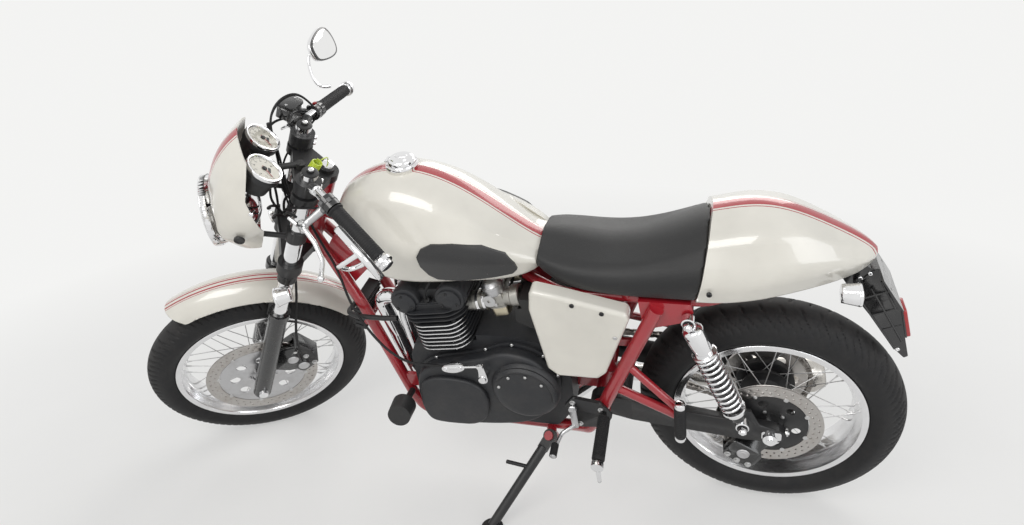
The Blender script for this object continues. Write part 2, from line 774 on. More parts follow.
class Kit:
    """The finishes of this machine, made once each."""

    RED: Colour = (0.40, 0.012, 0.022)
    IVORY: Colour = (0.80, 0.77, 0.69)
    BAND = (Stripe(0, 14, RED), Stripe(18.5, 20.8, RED))

    def __init__(self) -> None:
        """Makes every material."""
        self.tank = Lacquer("ivory_lacquer_tank", self.IVORY, stripes=self.BAND).make()
        self.tail = Lacquer("ivory_lacquer_tail", self.IVORY, stripes=self.BAND).make()
        self.plain = Lacquer("ivory_lacquer", self.IVORY).make()
        self.cowl = Lacquer("ivory_lacquer_cowl", self.IVORY, Body.STEERING, stripes=self.BAND).make()
        self.guard = Lacquer("ivory_lacquer_guard", self.IVORY, Body.STEERING,
                             stripes=(Stripe(4, 8.5, self.RED), Stripe(12, 13.5, self.RED))).make()
        self.red = Lacquer("red_frame_lacquer", self.RED, rough=0.34, dust=0.25).make()
        self.chrome = Metal("chrome_plate", (0.86, 0.86, 0.87), 0.06, 0.05, 500, 0.12).make()
        self.polished = Metal("polished_alloy", (0.82, 0.82, 0.83), 0.16, 0.35, 420, 0.16).make()
        self.satin = Metal("satin_alloy", (0.56, 0.56, 0.57), 0.34, 0.4, 600, 0.3, cast=0.12).make()
        self.cast_alloy = Metal("cast_alloy", (0.44, 0.43, 0.4), 0.42, 0.5, 500, 0.6, (0.2, 0.15, 0.1),
                                cast=0.35).make()
        self.disc = Metal("ground_disc_steel", (0.5, 0.48, 0.46), 0.3, 0.6, 900, 0.45, (0.25, 0.19, 0.14)).make()
        self.steel = Metal("zinc_steel", (0.6, 0.6, 0.6), 0.3, 0.4, 500, 0.35).make()
        self.brushed = Metal("brushed_silencer_steel", (0.55, 0.53, 0.5), 0.24, 0.6, 300, 0.4, (0.3, 0.2, 0.12),
                             stretch=(1, 6, 6)).make()
        self.dark_steel = Metal("chain_steel", (0.3, 0.28, 0.26), 0.34, 0.5, 500, 0.7, (0.06, 0.05, 0.04)).make()
        self.brass = Metal("pale_brass", (0.62, 0.56, 0.42), 0.3, 0.3, 500, 0.5).make()
        self.black = Enamel("black_enamel", (0.016, 0.016, 0.017)).make()
        self.crackle = Enamel("black_engine_coat", (0.02, 0.021, 0.024), 0.5, 0.5, 900, 0.45).make()
        self.gloss_black = Enamel("gloss_black", (0.012, 0.012, 0.013), 0.25, 0.12, 500, 0.2, 0.6).make()
        self.plastic = Enamel("moulded_black_plastic", (0.022, 0.022, 0.022), 0.55, 0.5, 1100, 0.3).make()
        self.rubber = Gum("black_rubber").make()
        self.pad = Enamel("knee_pad_rubber", (0.008, 0.008, 0.009), 0.3, 0.2, 900, 0.15, 0.5).make()
        self.tyre_front = Gum("front_tyre_rubber", wheel=(Body.FRONT_WHEEL, -1.490, 0.3185)).make()
        self.tyre_rear = Gum("rear_tyre_rubber", wheel=(Body.REAR_WHEEL, 0.0, 0.320)).make()
        self.hide = Hide("seat_vinyl").make()
        self.lamp_glass = Lens("ribbed_lamp_glass", (0.8, 0.8, 0.8), 0.08, 0.0, 900, 0.75).make()
        self.clear = Lens("clear_lens", (0.8, 0.78, 0.74), 0.14, 0.0, metallic=0.5).make()
        self.red_lens = Lens("red_lens", (0.42, 0.006, 0.008), 0.12, 0.0).make()
        self.switch_red = Enamel("switch_red", (0.3, 0.008, 0.008), 0.4).make()
        self.switch_grey = Enamel("switch_grey", (0.16, 0.16, 0.16), 0.45).make()
        self.lime = Enamel("lime_lanyard", (0.5, 0.62, 0.03), 0.35, 0.2, 600, 0.1, 0.3).make()
        self.silvering = Metal("mirror_silvering", (0.9, 0.9, 0.9), 0.02, 0.0, 300, 0.04).make()
        self.dial = Lacquer("dial_face", (0.6, 0.57, 0.48), Body.STEERING, 0.5, 0.6, 0.0, 0.1).make()


# Wheels

@dataclass
class Tyre:
    """A tyre with grooves cut across its shoulders."""

    body: Body
    node: str
    centre: Pair
    radius: float
    half: float
    crown: float
    flange: float
    rim_half: float
    pitch: int
    sweep: float
    depth: float = 3.6
    groove: float = 2.1

    def profile(self) -> List[Pair]:
        """Points of the tyre's section as (radius, y), round its outside and inside."""
        edge = self.rim_half - 3.3
        lip = self.flange + 2.3
        top = self.radius - self.crown
        points = []
        knee = ((edge + self.half) / 2 + 4, (lip + top) / 2)
        for k in range(10):
            t = k / 10
            a = (edge * (1 - t) ** 2 + 2 * t * (1 - t) * (2 * knee[0] - 0.5 * (edge + self.half)) + self.half * t * t)
            b = lip * (1 - t) ** 2 + 2 * t * (1 - t) * (2 * knee[1] - 0.5 * (lip + top)) + top * t * t
            points.append((b, a))
        arc = (self.half ** 2 + self.crown ** 2) / (2 * self.crown)
        limit = asin(min(1.0, self.half / arc)) if self.crown < arc else pi / 2
        count = 30
        for k in range(count + 1):
            angle = limit * (1 - 2 * k / count)
            points.append((self.radius - arc + arc * cos(angle), arc * sin(angle)))
        points += [(r, -y) for r, y in reversed(points[:10])]
        points += [(self.flange - 10.7, -edge), (self.flange - 10.7, edge)]
        return points

    def cut(self, turn: float, y: float) -> float:
        """How deep the tread is cut at an angle round the wheel and a distance from its middle."""
        side = 1 if y > 0 else -1
        v = abs(y) / self.half
        if v > 0.97:
            return 0.0
        pitch = 2 * pi / self.pitch
        lag = side * 0.25 * pitch + self.sweep * (v ** 1.5) * pitch - turn
        depth = 0.0
        for offset, low, high in ((0.0, 0.16, 0.93), (0.5, 0.52, 0.93)):
            across = ((lag + offset * pitch) % pitch) - pitch / 2
            away = abs(across) * self.radius
            if low < v < high and away < self.groove + 1.2:
                fade = min(1, (v - low) / 0.05, (high - v) / 0.05)
                depth = max(depth, fade * min(1, (self.groove + 1.2 - away) / 1.2))
        return depth * self.depth

    def build(self, kit_material: Finish) -> Obj:
        """Makes the tyre in place of its node."""
        bench = Bench(self.body)
        ring = bench.lathe(self.node + "_treaded", self.profile(), Matrix(), 720)
        for vertex in ring.data.vertices:
            x, y, z = vertex.co
            r = hypot(x, y)
            if r > self.radius - self.crown * 0.86:
                cut = self.cut(atan2(y, x), z)
                if cut:
                    scale = (r - cut) / r
                    vertex.co = (x * scale, y * scale, z * (1 - cut / self.radius * 0.5))
        place = Bench.across(self.centre[0], 0, self.centre[1])
        ring.data.transform(place)
        bench.paint(ring, kit_material, 32)
        return bench.finish(ring, "tyre", self.node)


@dataclass
class Wheel:
    """Polished rim and the spokes laced to it."""

    body: Body
    prefix: str
    centre: Pair
    flange: float
    rim_half: float
    hub_flange: float
    hub_y: float
    spokes: int = 36
    bead: float = 11
    wall: float = 3

    def at(self, angle: float, radius: float, y: float) -> Vector:
        """Point at an angle in degrees round the wheel, a radius and a y."""
        a = radians(angle)
        return vec(self.centre[0] + radius * cos(a), y, self.centre[1] + radius * sin(a))

    def rim(self, bench: Bench, kit: Kit) -> Obj:
        """The rolled rim with its rounded flanges and well."""
        f, w, bead = self.flange + 2, self.rim_half, self.flange - self.bead
        half = [(bead, w - self.wall), (f - 3, w - self.wall), (f - 1, w - self.wall + 0.5), (f, w - 1.4),
                (f - 0.4, w), (f - 2.5, w + 1), (f - 7, w + 0.6), (bead - 3, w), (bead - 6, w * 0.86),
                (bead - 8.5, w * 0.66), (bead - 12, w * 0.5), (bead - 15.4, w * 0.34), (bead - 16, w * 0.2),
                (bead - 16, 0)]
        outer = half + [(r, -y) for r, y in reversed(half[:-1])]
        inner = [(bead - 2, -w + 5), (bead - 12, -w * 0.3), (bead - 12, w * 0.3), (bead - 2, w - 5)]
        place = Bench.across(self.centre[0], 0, self.centre[1])
        rim = bench.lathe(self.prefix + "_rim_polished", outer + inner, place, 144)
        return bench.paint(rim, kit.polished, 50)

    def lacing(self, bench: Bench, kit: Kit) -> Obj:
        """Spokes with their elbows at the hub and nipples at the rim."""
        parts = []
        seat = self.flange - self.bead - 15.6
        for k in range(self.spokes):
            side, lead = ((1, 26), (-1, 26), (1, -26), (-1, -26))[k % 4]
            angle = k * 360 / self.spokes
            hub = self.at(angle, self.hub_flange - 5, side * self.hub_y)
            rim = self.at(angle + lead, seat, side * 5)
            way = (rim - hub).normalized()
            spoke = bench.cylinder("spoke", hub, rim - way * 6, 1.25, sides=8, bevel=0)
            elbow = bench.cylinder("elbow", hub + vec(0, side * 1.6, 0), hub - vec(0, side * 6.5, 0), 1.5, sides=8,
                                   bevel=0)
            head = bench.cylinder("spoke_head", hub - vec(0, side * 6.0, 0), hub - vec(0, side * 8.2, 0), 2.6, 2.0,
                                  10, 0)
            nipple = bench.cylinder("nipple", rim - way * 15, rim + way * 1.0, 1.9, 3.0, 8, 0)
            parts += [spoke, elbow, head, nipple]
        laced = bench.join(self.prefix + "_spokes", parts)
        return bench.paint(laced, kit.steel, 50)

    def build(self, kit: Kit) -> None:
        """Makes rim and spokes in place of the rim node."""
        bench = Bench(self.body)
        bench.finish(self.rim(bench, kit), "rim_alloy", self.prefix + "_rim")
        bench.finish(self.lacing(bench, kit), "steel")


@dataclass
class BrakeRotor:
    """Drilled rotor bolted to its carrier."""

    body: Body
    node: str
    centre: Pair
    y: float
    radius: float
    band: float
    bore: float
    spider_holes: int
    spider_radius: float
    drills: int
    rows: int
    thickness: float = 5

    def ring(self, count: int, radius: float, size: float, start: float = 0) -> List[List[Pair]]:
        """Outlines of round holes in a ring."""
        rings = []
        sides = 20 if size > 8 else 10
        for k in range(count):
            a = radians(start + 360 * k / count)
            cx, cy = radius * cos(a), radius * sin(a)
            rings.append([(cx + size * cos(2 * pi * j / sides), cy + size * sin(2 * pi * j / sides))
                          for j in range(sides)])
        return rings

    def outline(self, radius: float, sides: int = 120) -> List[Pair]:
        """Round outline."""
        return [(radius * cos(2 * pi * j / sides), radius * sin(2 * pi * j / sides)) for j in range(sides)]

    def build(self, kit: Kit, carrier: Finish) -> None:
        """Makes the rotor, its carrier and bolts in place of the node."""
        bench = Bench(self.body)
        inner = self.radius - self.band
        place = Bench.across(self.centre[0], self.y - self.thickness / 2, self.centre[1])
        holes = [self.outline(inner, 96)]
        step = self.band / (self.rows + 1)
        for row in range(self.rows):
            holes += self.ring(self.drills, inner + step * (row + 1), 2.6, row * 180 / self.drills)
        rotor = bench.plate(self.node + "_band", self.outline(self.radius), self.thickness, place, 0.5, holes)
        bench.paint(rotor, kit.disc, 30)
        openings = [self.outline(self.bore, 40),
                    *self.ring(self.spider_holes, (self.bore + inner) / 2 + 2, self.spider_radius, 15)]
        spider = bench.plate(self.node + "_spider", self.outline(inner - 1.2, 96), self.thickness - 1.2,
                             place @ move(0, 0, 0.6), 0.6, openings)
        bench.paint(spider, carrier, 30)
        buttons, bolts = [], []
        for k in range(8):
            a = 2 * pi * (k + 0.5) / 8
            buttons.append(move(inner * cos(a), inner * sin(a), self.thickness / 2))
        button = bench.cylinder("button", vec(0, 0, -self.thickness / 2 - 1), vec(0, 0, self.thickness / 2 + 1), 6,
                                sides=18)
        rivets = bench.join("rivets", bench.copies(button, [place @ m for m in buttons]))
        bench.paint(rivets, kit.steel, 30)
        for k in range(6):
            a = 2 * pi * (k + 0.25) / 6
            bolts.append(move((self.bore + 7) * cos(a), (self.bore + 7) * sin(a), self.thickness / 2))
        bolt = bench.cylinder("bolt", vec(0, 0, -self.thickness / 2 - 3.2), vec(0, 0, self.thickness / 2), 5, sides=6,
                              bevel=0.5)
        heads = bench.join("heads", bench.copies(bolt, [place @ m for m in bolts]))
        bench.paint(heads, kit.steel, 30)
        whole = bench.join(self.node + "_drilled", [rotor, spider, rivets, heads])
        bench.finish(whole, "disc_steel", self.node)


class Hubs:
    """Hub barrels with the flanges that the spokes hook into."""

    def front(self, kit: Kit) -> None:
        """Front hub."""
        bench = Bench(Body.FRONT_WHEEL)
        place = Bench.across(FRONT_AXLE[0], 0, FRONT_AXLE[1])
        profile = [(8.7, -57.4), (35, -57.4), (36, -55), (36, -38), (41, -34), (46, -33), (46, -27), (40, -26.5),
                   (30, -22), (26, -12), (25, 0), (26, 12), (30, 22), (40, 26.5), (46, 27), (46, 33), (40, 34),
                   (30, 38), (25, 46), (22, 52), (8.7, 52)]
        bench.turn("front_hub_turned", profile, place, 64, kit.satin, 30)
        bench.close("front_hub_turned", "hub_alloy", "front_hub")

    def rear(self, kit: Kit) -> None:
        """Rear hub with the sprocket carrier on its right."""
        bench = Bench(Body.REAR_WHEEL)
        place = Bench.across(REAR_AXLE[0], 0, REAR_AXLE[1])
        profile = [(10.2, -72.4), (46, -72.4), (50, -70), (50, -44), (56, -40.5), (62, -39.5), (62, -32.5), (54, -31.5),
                   (42, -26), (35, -14), (34, 0), (35, 14), (42, 26), (54, 31.5), (62, 32.5), (62, 39.5), (54, 41),
                   (52, 55), (73, 56.5), (74, 58), (74, 74.5), (72, 75.9), (10.2, 75.9)]
        hub = bench.paint(bench.lathe("rear_hub_turned", profile, place, 72), kit.black, 30)
        bench.finish(hub, "hub_alloy", "rear_hub")


@dataclass
class Shock:
    """Rear shock absorber: chrome shroud, coil spring, damper body and its clevis."""

    top: Triple = (-189, 140, 688)
    foot: Triple = (-66, 140, 378)

    def unit(self, bench: Bench, side: int, kit: Kit) -> None:
        """One unit: shroud, collar, damper, preload ramp, spring and an eye with its bush and nut at each end."""
        top = vec(self.top[0], side * self.top[1], self.top[2])
        foot = vec(self.foot[0], side * self.foot[1], self.foot[2])
        length = (foot - top).length
        seat_at = length - 62
        place = Bench.basis(top, vec(0, 1, 0), foot - top)
        for name, profile, sides, material, angle in (
                ("shroud", [(0, 17), (13, 17), (20, 20), (23.5, 23), (24.5, 26), (24.5, 90), (23.2, 92), (22.6, 90),
                            (22.6, 30), (0, 28)], 64, kit.chrome, 40),
                ("collar", [(8, 92), (27, 92), (29.5, 94), (29.5, 97), (27, 98), (8, 98)], 64, kit.polished, 40),
                ("damper", [(0, 60), (8, 60), (8, 150), (15.5, 152), (17, 156), (17, length - 26), (14, length - 22),
                            (0, length - 22)], 48, kit.gloss_black, 35),
                ("preload", [(17.2, seat_at), (29, seat_at), (29.5, seat_at + 2), (29.5, seat_at + 5),
                             (26, seat_at + 7), (24, seat_at + 16), (19, seat_at + 18), (17.2, seat_at + 18)],
                 48, kit.chrome, 35)):
            bench.turn(name, profile, place, sides, material, angle)
        bench.put(bench.coil("spring", place @ move(0, 0, 100), 25.6, 3.3, seat_at - 102, 11.2), kit.chrome, 60)
        for z, end, inward in ((0, top, 1), (length, foot, -1)):
            crosswise = place @ move(0, 0, z) @ Matrix.Rotation(pi / 2, 4, "Y")
            eye = [(7.4, -12), (13, -12), (15.5, -10), (15.5, 10), (13, 12), (7.4, 12)]
            bench.turn("eye", eye, crosswise, 40, kit.polished)
            bench.put(bench.cylinder("stub", place @ vec(0, 0, z + inward * 10), place @ vec(0, 0, z + inward * 27),
                                     9, 11, 24, 0.8), kit.polished)
            bush = [(7.35, -14.5), (11.5, -14.5), (12.5, -12), (12.5, 12), (11.5, 14.5), (7.35, 14.5)]
            bench.turn("bush", bush, crosswise, 32, kit.rubber)
            face, step, crown = (end + vec(0, side * y, 0) for y in (14.8, 22.8, 27.3))
            bench.put(bench.cylinder("nut", face, step, 11, 10.5, 6, 0.8), kit.chrome, 30)
            bench.put(bench.cylinder("dome", step, crown, 8, 5, 20, 1.2), kit.chrome, 40)

    def build(self, kit: Kit) -> None:
        """Makes both units in place of the node."""
        bench = Bench(Body.CHASSIS)
        for side in (-1, 1):
            self.unit(bench, side, kit)
        bench.close("shock_absorbers", "chrome", "rear_shocks")


class Saddle:
    """Single seat: a padded cover with soft edges that dips where the rider sits. Sizes are in metres."""

    DIP_AT, DIP_LENGTH, DIP_WIDTH, DIP_DEPTH = -0.33, 0.12, 0.09, 0.004
    VOXEL = 0.006
    SHRINK = 0.0012

    def build(self, kit: Kit) -> None:
        """Makes the seat in place of its node."""
        bench = Bench(Body.CHASSIS)
        seat = bench.draft("seat", "seat_cover", 1e-4)
        mesh = seat.data
        mesh.transform(Matrix.Diagonal((MM, MM, MM, 1)))
        mod = seat.modifiers.new("even", "REMESH")
        mod.mode, mod.voxel_size, mod.use_smooth_shade = "VOXEL", self.VOXEL, True
        bench.apply(seat)
        rest = [v.co.copy() for v in seat.data.vertices]
        normals = [v.normal.copy() for v in seat.data.vertices]
        for v, n, r in zip(seat.data.vertices, normals, rest):
            crown = max(0.0, n.z)
            along, across = (r.x - self.DIP_AT) / self.DIP_LENGTH, r.y / self.DIP_WIDTH
            sag = -self.DIP_DEPTH * exp(-along ** 2) * crown * exp(-across ** 2)
            v.co = r - n * self.SHRINK + vec(0, 0, sag)
        smooth = seat.modifiers.new("settle", "CORRECTIVE_SMOOTH")
        smooth.iterations, smooth.smooth_type = 9, "SIMPLE"
        bench.apply(seat)
        levels = seat.modifiers.new("fine", "SUBSURF")
        levels.levels = levels.render_levels = 1
        bench.apply(seat)
        seat.data.transform(Matrix.Diagonal((1 / MM, 1 / MM, 1 / MM, 1)))
        bench.paint(seat, kit.hide, 60)
        bench.finish(seat, "seat_vinyl", "seat")


@dataclass
class DriveChain:
    """Roller chain round both sprockets, link by link."""

    rear: Triple = (0, 320, 113.5)
    front: Triple = (-520, 400, 42.5)
    y: float = 79
    pitch: float = 15.875

    def route(self) -> List[Tuple[Vector, Vector]]:
        """Places and directions one pitch apart round the loop."""
        (xr, zr, rr), (xf, zf, rf) = self.rear, self.front
        axis = vec(xf - xr, 0, zf - zr)
        length = axis.length
        axis.normalize()
        base = atan2(axis.z, axis.x)
        lean = acos((rr - rf) / length)
        points: List[Vector] = []
        top = base - lean
        bottom = base + lean
        steps = 60
        for k in range(steps + 1):
            a = bottom + (2 * pi - 2 * lean) * k / steps
            points.append(vec(xr + rr * cos(a), self.y, zr + rr * sin(a)))
        for k in range(steps + 1):
            a = top + (2 * lean) * k / steps
            points.append(vec(xf + rf * cos(a), self.y, zf + rf * sin(a)))
        points.append(points[0])
        total = sum((b - a).length for a, b in zip(points, points[1:]))
        count = 2 * round(total / self.pitch / 2)
        step = total / count
        out, want, run = [], 0.0, 0.0
        for a, b in zip(points, points[1:]):
            span = (b - a).length
            while want <= run + span and len(out) < count and span > 1e-6:
                out.append((a.lerp(b, (want - run) / span), (b - a).normalized()))
                want += step
            run += span
        return out

    def build(self, kit: Kit) -> None:
        """Makes the links in place of the node."""
        bench = Bench(Body.CHASSIS)
        places = self.route()
        parts = []
        side = []
        for k in range(24):
            t = 2 * pi * k / 24
            waist = 1 - 0.16 * (cos(t) ** 2 < 0.5)
            side.append((self.pitch / 2 + 6.9 * cos(t) if cos(t) > 0 else -self.pitch / 2 + 6.9 * cos(t),
                         6.9 * sin(t) * waist))
        for k, (at, _) in enumerate(places):
            after = places[(k + 1) % len(places)][0]
            middle = (at + after) / 2
            frame_here = Bench.basis(middle, after - at, vec(0, 1, 0))
            gap = 6.6 if k % 2 else 4.6
            for s in (-1, 1):
                place = frame_here @ move(0, 0, s * gap - 0.9)
                parts.append(bench.plate("link", side, 1.8, place, 0))
            parts.append(bench.cylinder("roller", at - vec(0, 3.6, 0), at + vec(0, 3.6, 0), 4.7, sides=12, bevel=0))
            if k % 2:
                parts.append(bench.cylinder("pin", at - vec(0, 9, 0), at + vec(0, 9, 0), 2.4, sides=8, bevel=0))
                parts.append(bench.cylinder("pin", after - vec(0, 9, 0), after + vec(0, 9, 0), 2.4, sides=8, bevel=0))
        chain = bench.join("roller_chain", parts)
        bench.paint(chain, kit.dark_steel, 35)
        bench.finish(chain, "steel", "drive_chain")


# Shared outlines

def rounded(width: float, depth: float, corner: float, steps: int = 6) -> List[Pair]:
    """Outline of a rectangle with round corners, about its middle."""
    points = []
    for cx, cy, start in ((1, 1, 0), (-1, 1, 90), (-1, -1, 180), (1, -1, 270)):
        for k in range(steps + 1):
            a = radians(start + 90 * k / steps)
            points.append((cx * (width / 2 - corner) + corner * cos(a), cy * (depth / 2 - corner) + corner * sin(a)))
    return points


def round_off(points: Sequence[Pair], rounds: int = 3) -> List[Pair]:
    """Outline with its corners cut again and again until they are round."""
    out = list(points)
    for _ in range(rounds):
        cut = []
        for a, b in zip(out, out[1:] + out[:1]):
            cut += [(a[0] * 0.75 + b[0] * 0.25, a[1] * 0.75 + b[1] * 0.25),
                    (a[0] * 0.25 + b[0] * 0.75, a[1] * 0.25 + b[1] * 0.75)]
        out = cut
    return out


def side_view(y: float, outward: int) -> Matrix:
    """Matrix that stands an (x, z) outline up at a y, to be extruded away from the middle."""
    return Matrix(((1, 0, 0, 0), (0, 0, outward, y), (0, 1, 0, 0), (0, 0, 0, 1)))


# Engine

@dataclass
class Engine:
    """Finned barrels, head with its cam drums, side covers, clutch arm and carburettors."""

    tilt: float = 9.0
    foot: Triple = (-798, 0, 530)
    fins: int = 7
    fin_pitch: float = 12.5
    fin_depth: float = 152
    fin_width: float = 282
    barrel: float = 92
    bore_y: float = 68
    cam_x: float = 62
    cam_radius: float = 40

    def base(self) -> Matrix:
        """Matrix of the cylinders' own frame."""
        a = radians(self.tilt)
        return Bench.basis(Vector(self.foot), vec(cos(a), 0, sin(a)), vec(-sin(a), 0, cos(a)))

    def barrels(self, kit: Kit) -> None:
        """Cylinders with fins whose side edges are machined bright."""
        bench, base = Bench(Body.CHASSIS), self.base()
        up = base.to_3x3() @ vec(0, 0, 1)
        for k in range(self.fins):
            fin = bench.put(bench.plate("fin", rounded(self.fin_depth, self.fin_width, 46, 10), 3.6,
                                        base @ move(0, 0, 6.2 + k * self.fin_pitch), 0.7), kit.crackle, 30)
            fin.data.materials.append(kit.polished)
            for face in fin.data.polygons:
                if abs(face.normal.dot(up)) < 0.55 and abs(face.center.y) > 104:
                    face.material_index = 1
        bench.put(bench.plate("core", rounded(118, 248, 52, 10), self.barrel - 0.4, base @ move(0, 0, 0.2), 1),
                  kit.crackle, 30)
        for x in (-50, 50):
            for y in (-124, -26, 26, 124):
                bench.put(bench.cylinder("stud", base @ vec(x, y, 3), base @ vec(x, y, self.barrel - 2), 6.5,
                                         sides=16, bevel=0), kit.crackle, 30)
        bench.close("finned_barrels", "black_paint", "cylinder_barrels")

    def head(self, kit: Kit) -> None:
        """Cylinder head: fins, round cam drums with end caps, ports and plugs."""
        bench, base = Bench(Body.CHASSIS), self.base()
        z = self.barrel
        bench.put(bench.plate("block", rounded(156, 254, 38, 8), 56, base @ move(0, 0, z + 0.3), 3), kit.crackle)
        for k in range(3):
            bench.put(bench.plate("head_fin", rounded(172, 286, 48, 10), 3.4,
                                  base @ move(0, 0, z + 7.5 + k * self.fin_pitch), 0.7), kit.crackle, 30)
        for x in (-self.cam_x, self.cam_x):
            r = self.cam_radius
            profile = [(0, -131), (r - 12, -131), (r - 11, -127.5), (r - 6, -127), (r - 2.5, -125.5), (r - 0.5, -122),
                       (r - 0.2, -104), (r - 2, -102), (r - 2, 102), (r - 0.2, 104), (r - 0.5, 122), (r - 2.5, 125.5),
                       (r - 6, 127), (r - 11, 127.5), (r - 12, 131), (0, 131)]
            place = base @ move(x, 0, z + 62) @ Matrix.Rotation(pi / 2, 4, "X")
            bench.turn("cam_drum", profile, place, 64, kit.crackle)
            for side in (-1, 1):
                cap_place = base @ move(x, side * 130, z + 62) @ Matrix.Rotation(-side * pi / 2, 4, "X")
                shape = [(0, 7.6), (14, 7.6), (16, 7), (18, 5.4), (28, 4.6), (30.5, 3), (31, 0), (31, -3), (0, -3)]
                bench.turn("cam_cap", shape, cap_place, 56, kit.crackle)
                for k in range(3):
                    a = radians(90 + 120 * k)
                    at = cap_place @ vec(24 * cos(a), 24 * sin(a), 4.6)
                    out = cap_place.to_3x3() @ vec(0, 0, 1)
                    bench.screw(at, out, kit.black, 3.8, 2.6, 14)
        bench.put(bench.plate("rocker_box", rounded(112, 214, 18, 6), 81, base @ move(0, 0, z + 2), 6), kit.crackle)
        bench.put(bench.plate("cover_seam", rounded(206, 262, 24, 6), 3, base @ move(0, 0, z + 51), 0.8), kit.crackle)
        for side in (-1, 1):
            port = base @ move(-84, side * self.bore_y, z + 34) @ Matrix.Rotation(radians(-80), 4, "Y")
            bench.turn("port", [(19, -24), (25, -24), (25, 22), (23, 25.6), (19, 25.8)], port, 40, kit.crackle)
            inlet = base @ move(88, side * self.bore_y, z + 8) @ Matrix.Rotation(radians(86), 4, "Y")
            shape = [(18, -20), (23, -20), (24, 8), (26, 10), (26, 19), (24, 19.9), (18, 19.9)]
            bench.turn("inlet", shape, inlet, 40, kit.cast_alloy)
            plug = base @ vec(0, side * 118, z + 58)
            lead = [plug, plug + vec(-4, side * 12, 14), plug + vec(4, side * 10, 44), plug + vec(26, side * -12, 74)]
            bench.put(bench.hose("plug_lead", lead, 3.6, 6), kit.rubber, 60)
            bench.put(bench.cylinder("plug_boot", plug + vec(0, side * -8, -6), plug + vec(0, side * 8, 8), 9, 7, 20,
                                     1.2), kit.rubber)
        bench.close("cylinder_head_dressed", "black_paint", "cylinder_head")

    LEFT = [(-908, 389), (-896, 290), (-850, 268), (-674, 282), (-563, 314), (-504, 400), (-508, 470), (-545, 535),
            (-640, 556), (-700, 520), (-881, 476)]
    LEFT_BULGE = [(-890, 380), (-880, 300), (-840, 285), (-700, 296), (-690, 450), (-860, 458)]
    RIGHT = [(-905, 389), (-890, 290), (-850, 268), (-674, 268), (-560, 300), (-500, 350), (-498, 450), (-545, 535),
             (-640, 556), (-760, 520), (-881, 476)]

    COVER_MIDDLE: ClassVar[Pair] = (-702, 405)

    def drawn_in(self, points: Sequence[Pair], loss: float) -> List[Pair]:
        """The points of a cover's outline moved towards its middle by a share of their distance."""
        x0, z0 = self.COVER_MIDDLE
        return [(x * (1 - loss) + x0 * loss, z * (1 - loss) + z0 * loss) for x, z in points]

    def covers(self, kit: Kit) -> None:
        """Side covers with soft edges, their round bulges, ribs and silver screws."""
        bench = Bench(Body.CHASSIS)
        for side, outline, inner, outer in ((-1, self.LEFT, 105, 150), (1, self.RIGHT, 105, 148)):
            bench.put(bench.plate("flange", round_off(outline, 3), 9, side_view(side * inner, side), 1), kit.crackle)
            body = bench.plate("cover", round_off(self.drawn_in(outline, 0.035), 3), outer - inner - 8,
                               side_view(side * (inner + 8), side), 0)
            bench.rims(body, 11, 5, 50)
            bench.put(body, kit.crackle, 40)
            ring = self.drawn_in(round_off(outline, 3), 0.018)
            step = len(ring) // 11
            for k in range(11):
                x, z = ring[(k * step + 3) % len(ring)]
                bench.screw(vec(x, side * (inner + 9), z), vec(0, side, 0), kit.steel, 4.6, 4.2, 16)
        bulge = bench.plate("bulge", round_off(self.LEFT_BULGE, 3), 16, side_view(-148, -1), 0)
        bench.rims(bulge, 7, 4, 50)
        bench.put(bulge, kit.crackle, 40)
        dome = [(0, 23.6), (30, 23.4), (56, 22.4), (70, 20), (79, 16), (85, 10), (90, 1), (91, -3), (0, -3)]
        for at, side, scale in (((-592, -148, 432), -1, 1.0), ((-640, 146, 410), 1, 1.14)):
            place = Bench.across(*at, side) @ Matrix.Diagonal((scale, scale, 1, 1))
            bench.turn("dome", dome, place, 96, kit.crackle, 40)
        rim = [(74, 20), (79, 23.8), (82, 23.8), (87, 17), (85, 12), (72, 16)]
        arc = bench.lathe("dome_lip", rim, Bench.across(-592, -148.2, 432, -1), 96)
        bench.edit(arc, "DESELECT")
        bench.leave()
        for v in arc.data.vertices:
            v.select = (v.co.x + 592) * 0.4 + (v.co.z - 432) < 12
        bench.only(arc)
        bpy.ops.object.mode_set(mode="EDIT")
        bpy.ops.mesh.delete(type="VERT")
        bpy.ops.mesh.select_all(action="SELECT")
        bpy.ops.mesh.select_non_manifold()
        bpy.ops.mesh.edge_face_add()
        bench.leave()
        bench.put(arc, kit.crackle, 40)
        for angle in (40, 80, 120, 160):
            a = radians(angle)
            at = vec(-592 + 66 * cos(a), -169.6, 432 + 66 * sin(a))
            bench.screw(at, vec(0, -1, 0), kit.steel, 4.2, 3, 16)
        shape = [(0, 15.8), (40, 15.6), (50, 14), (56, 9), (60, 0), (61, -3), (0, -3)]
        bench.turn("points_cover", shape, Bench.across(-824, 146, 375), 72, kit.crackle, 40)
        bench.close("side_covers", "black_paint", "engine_covers")

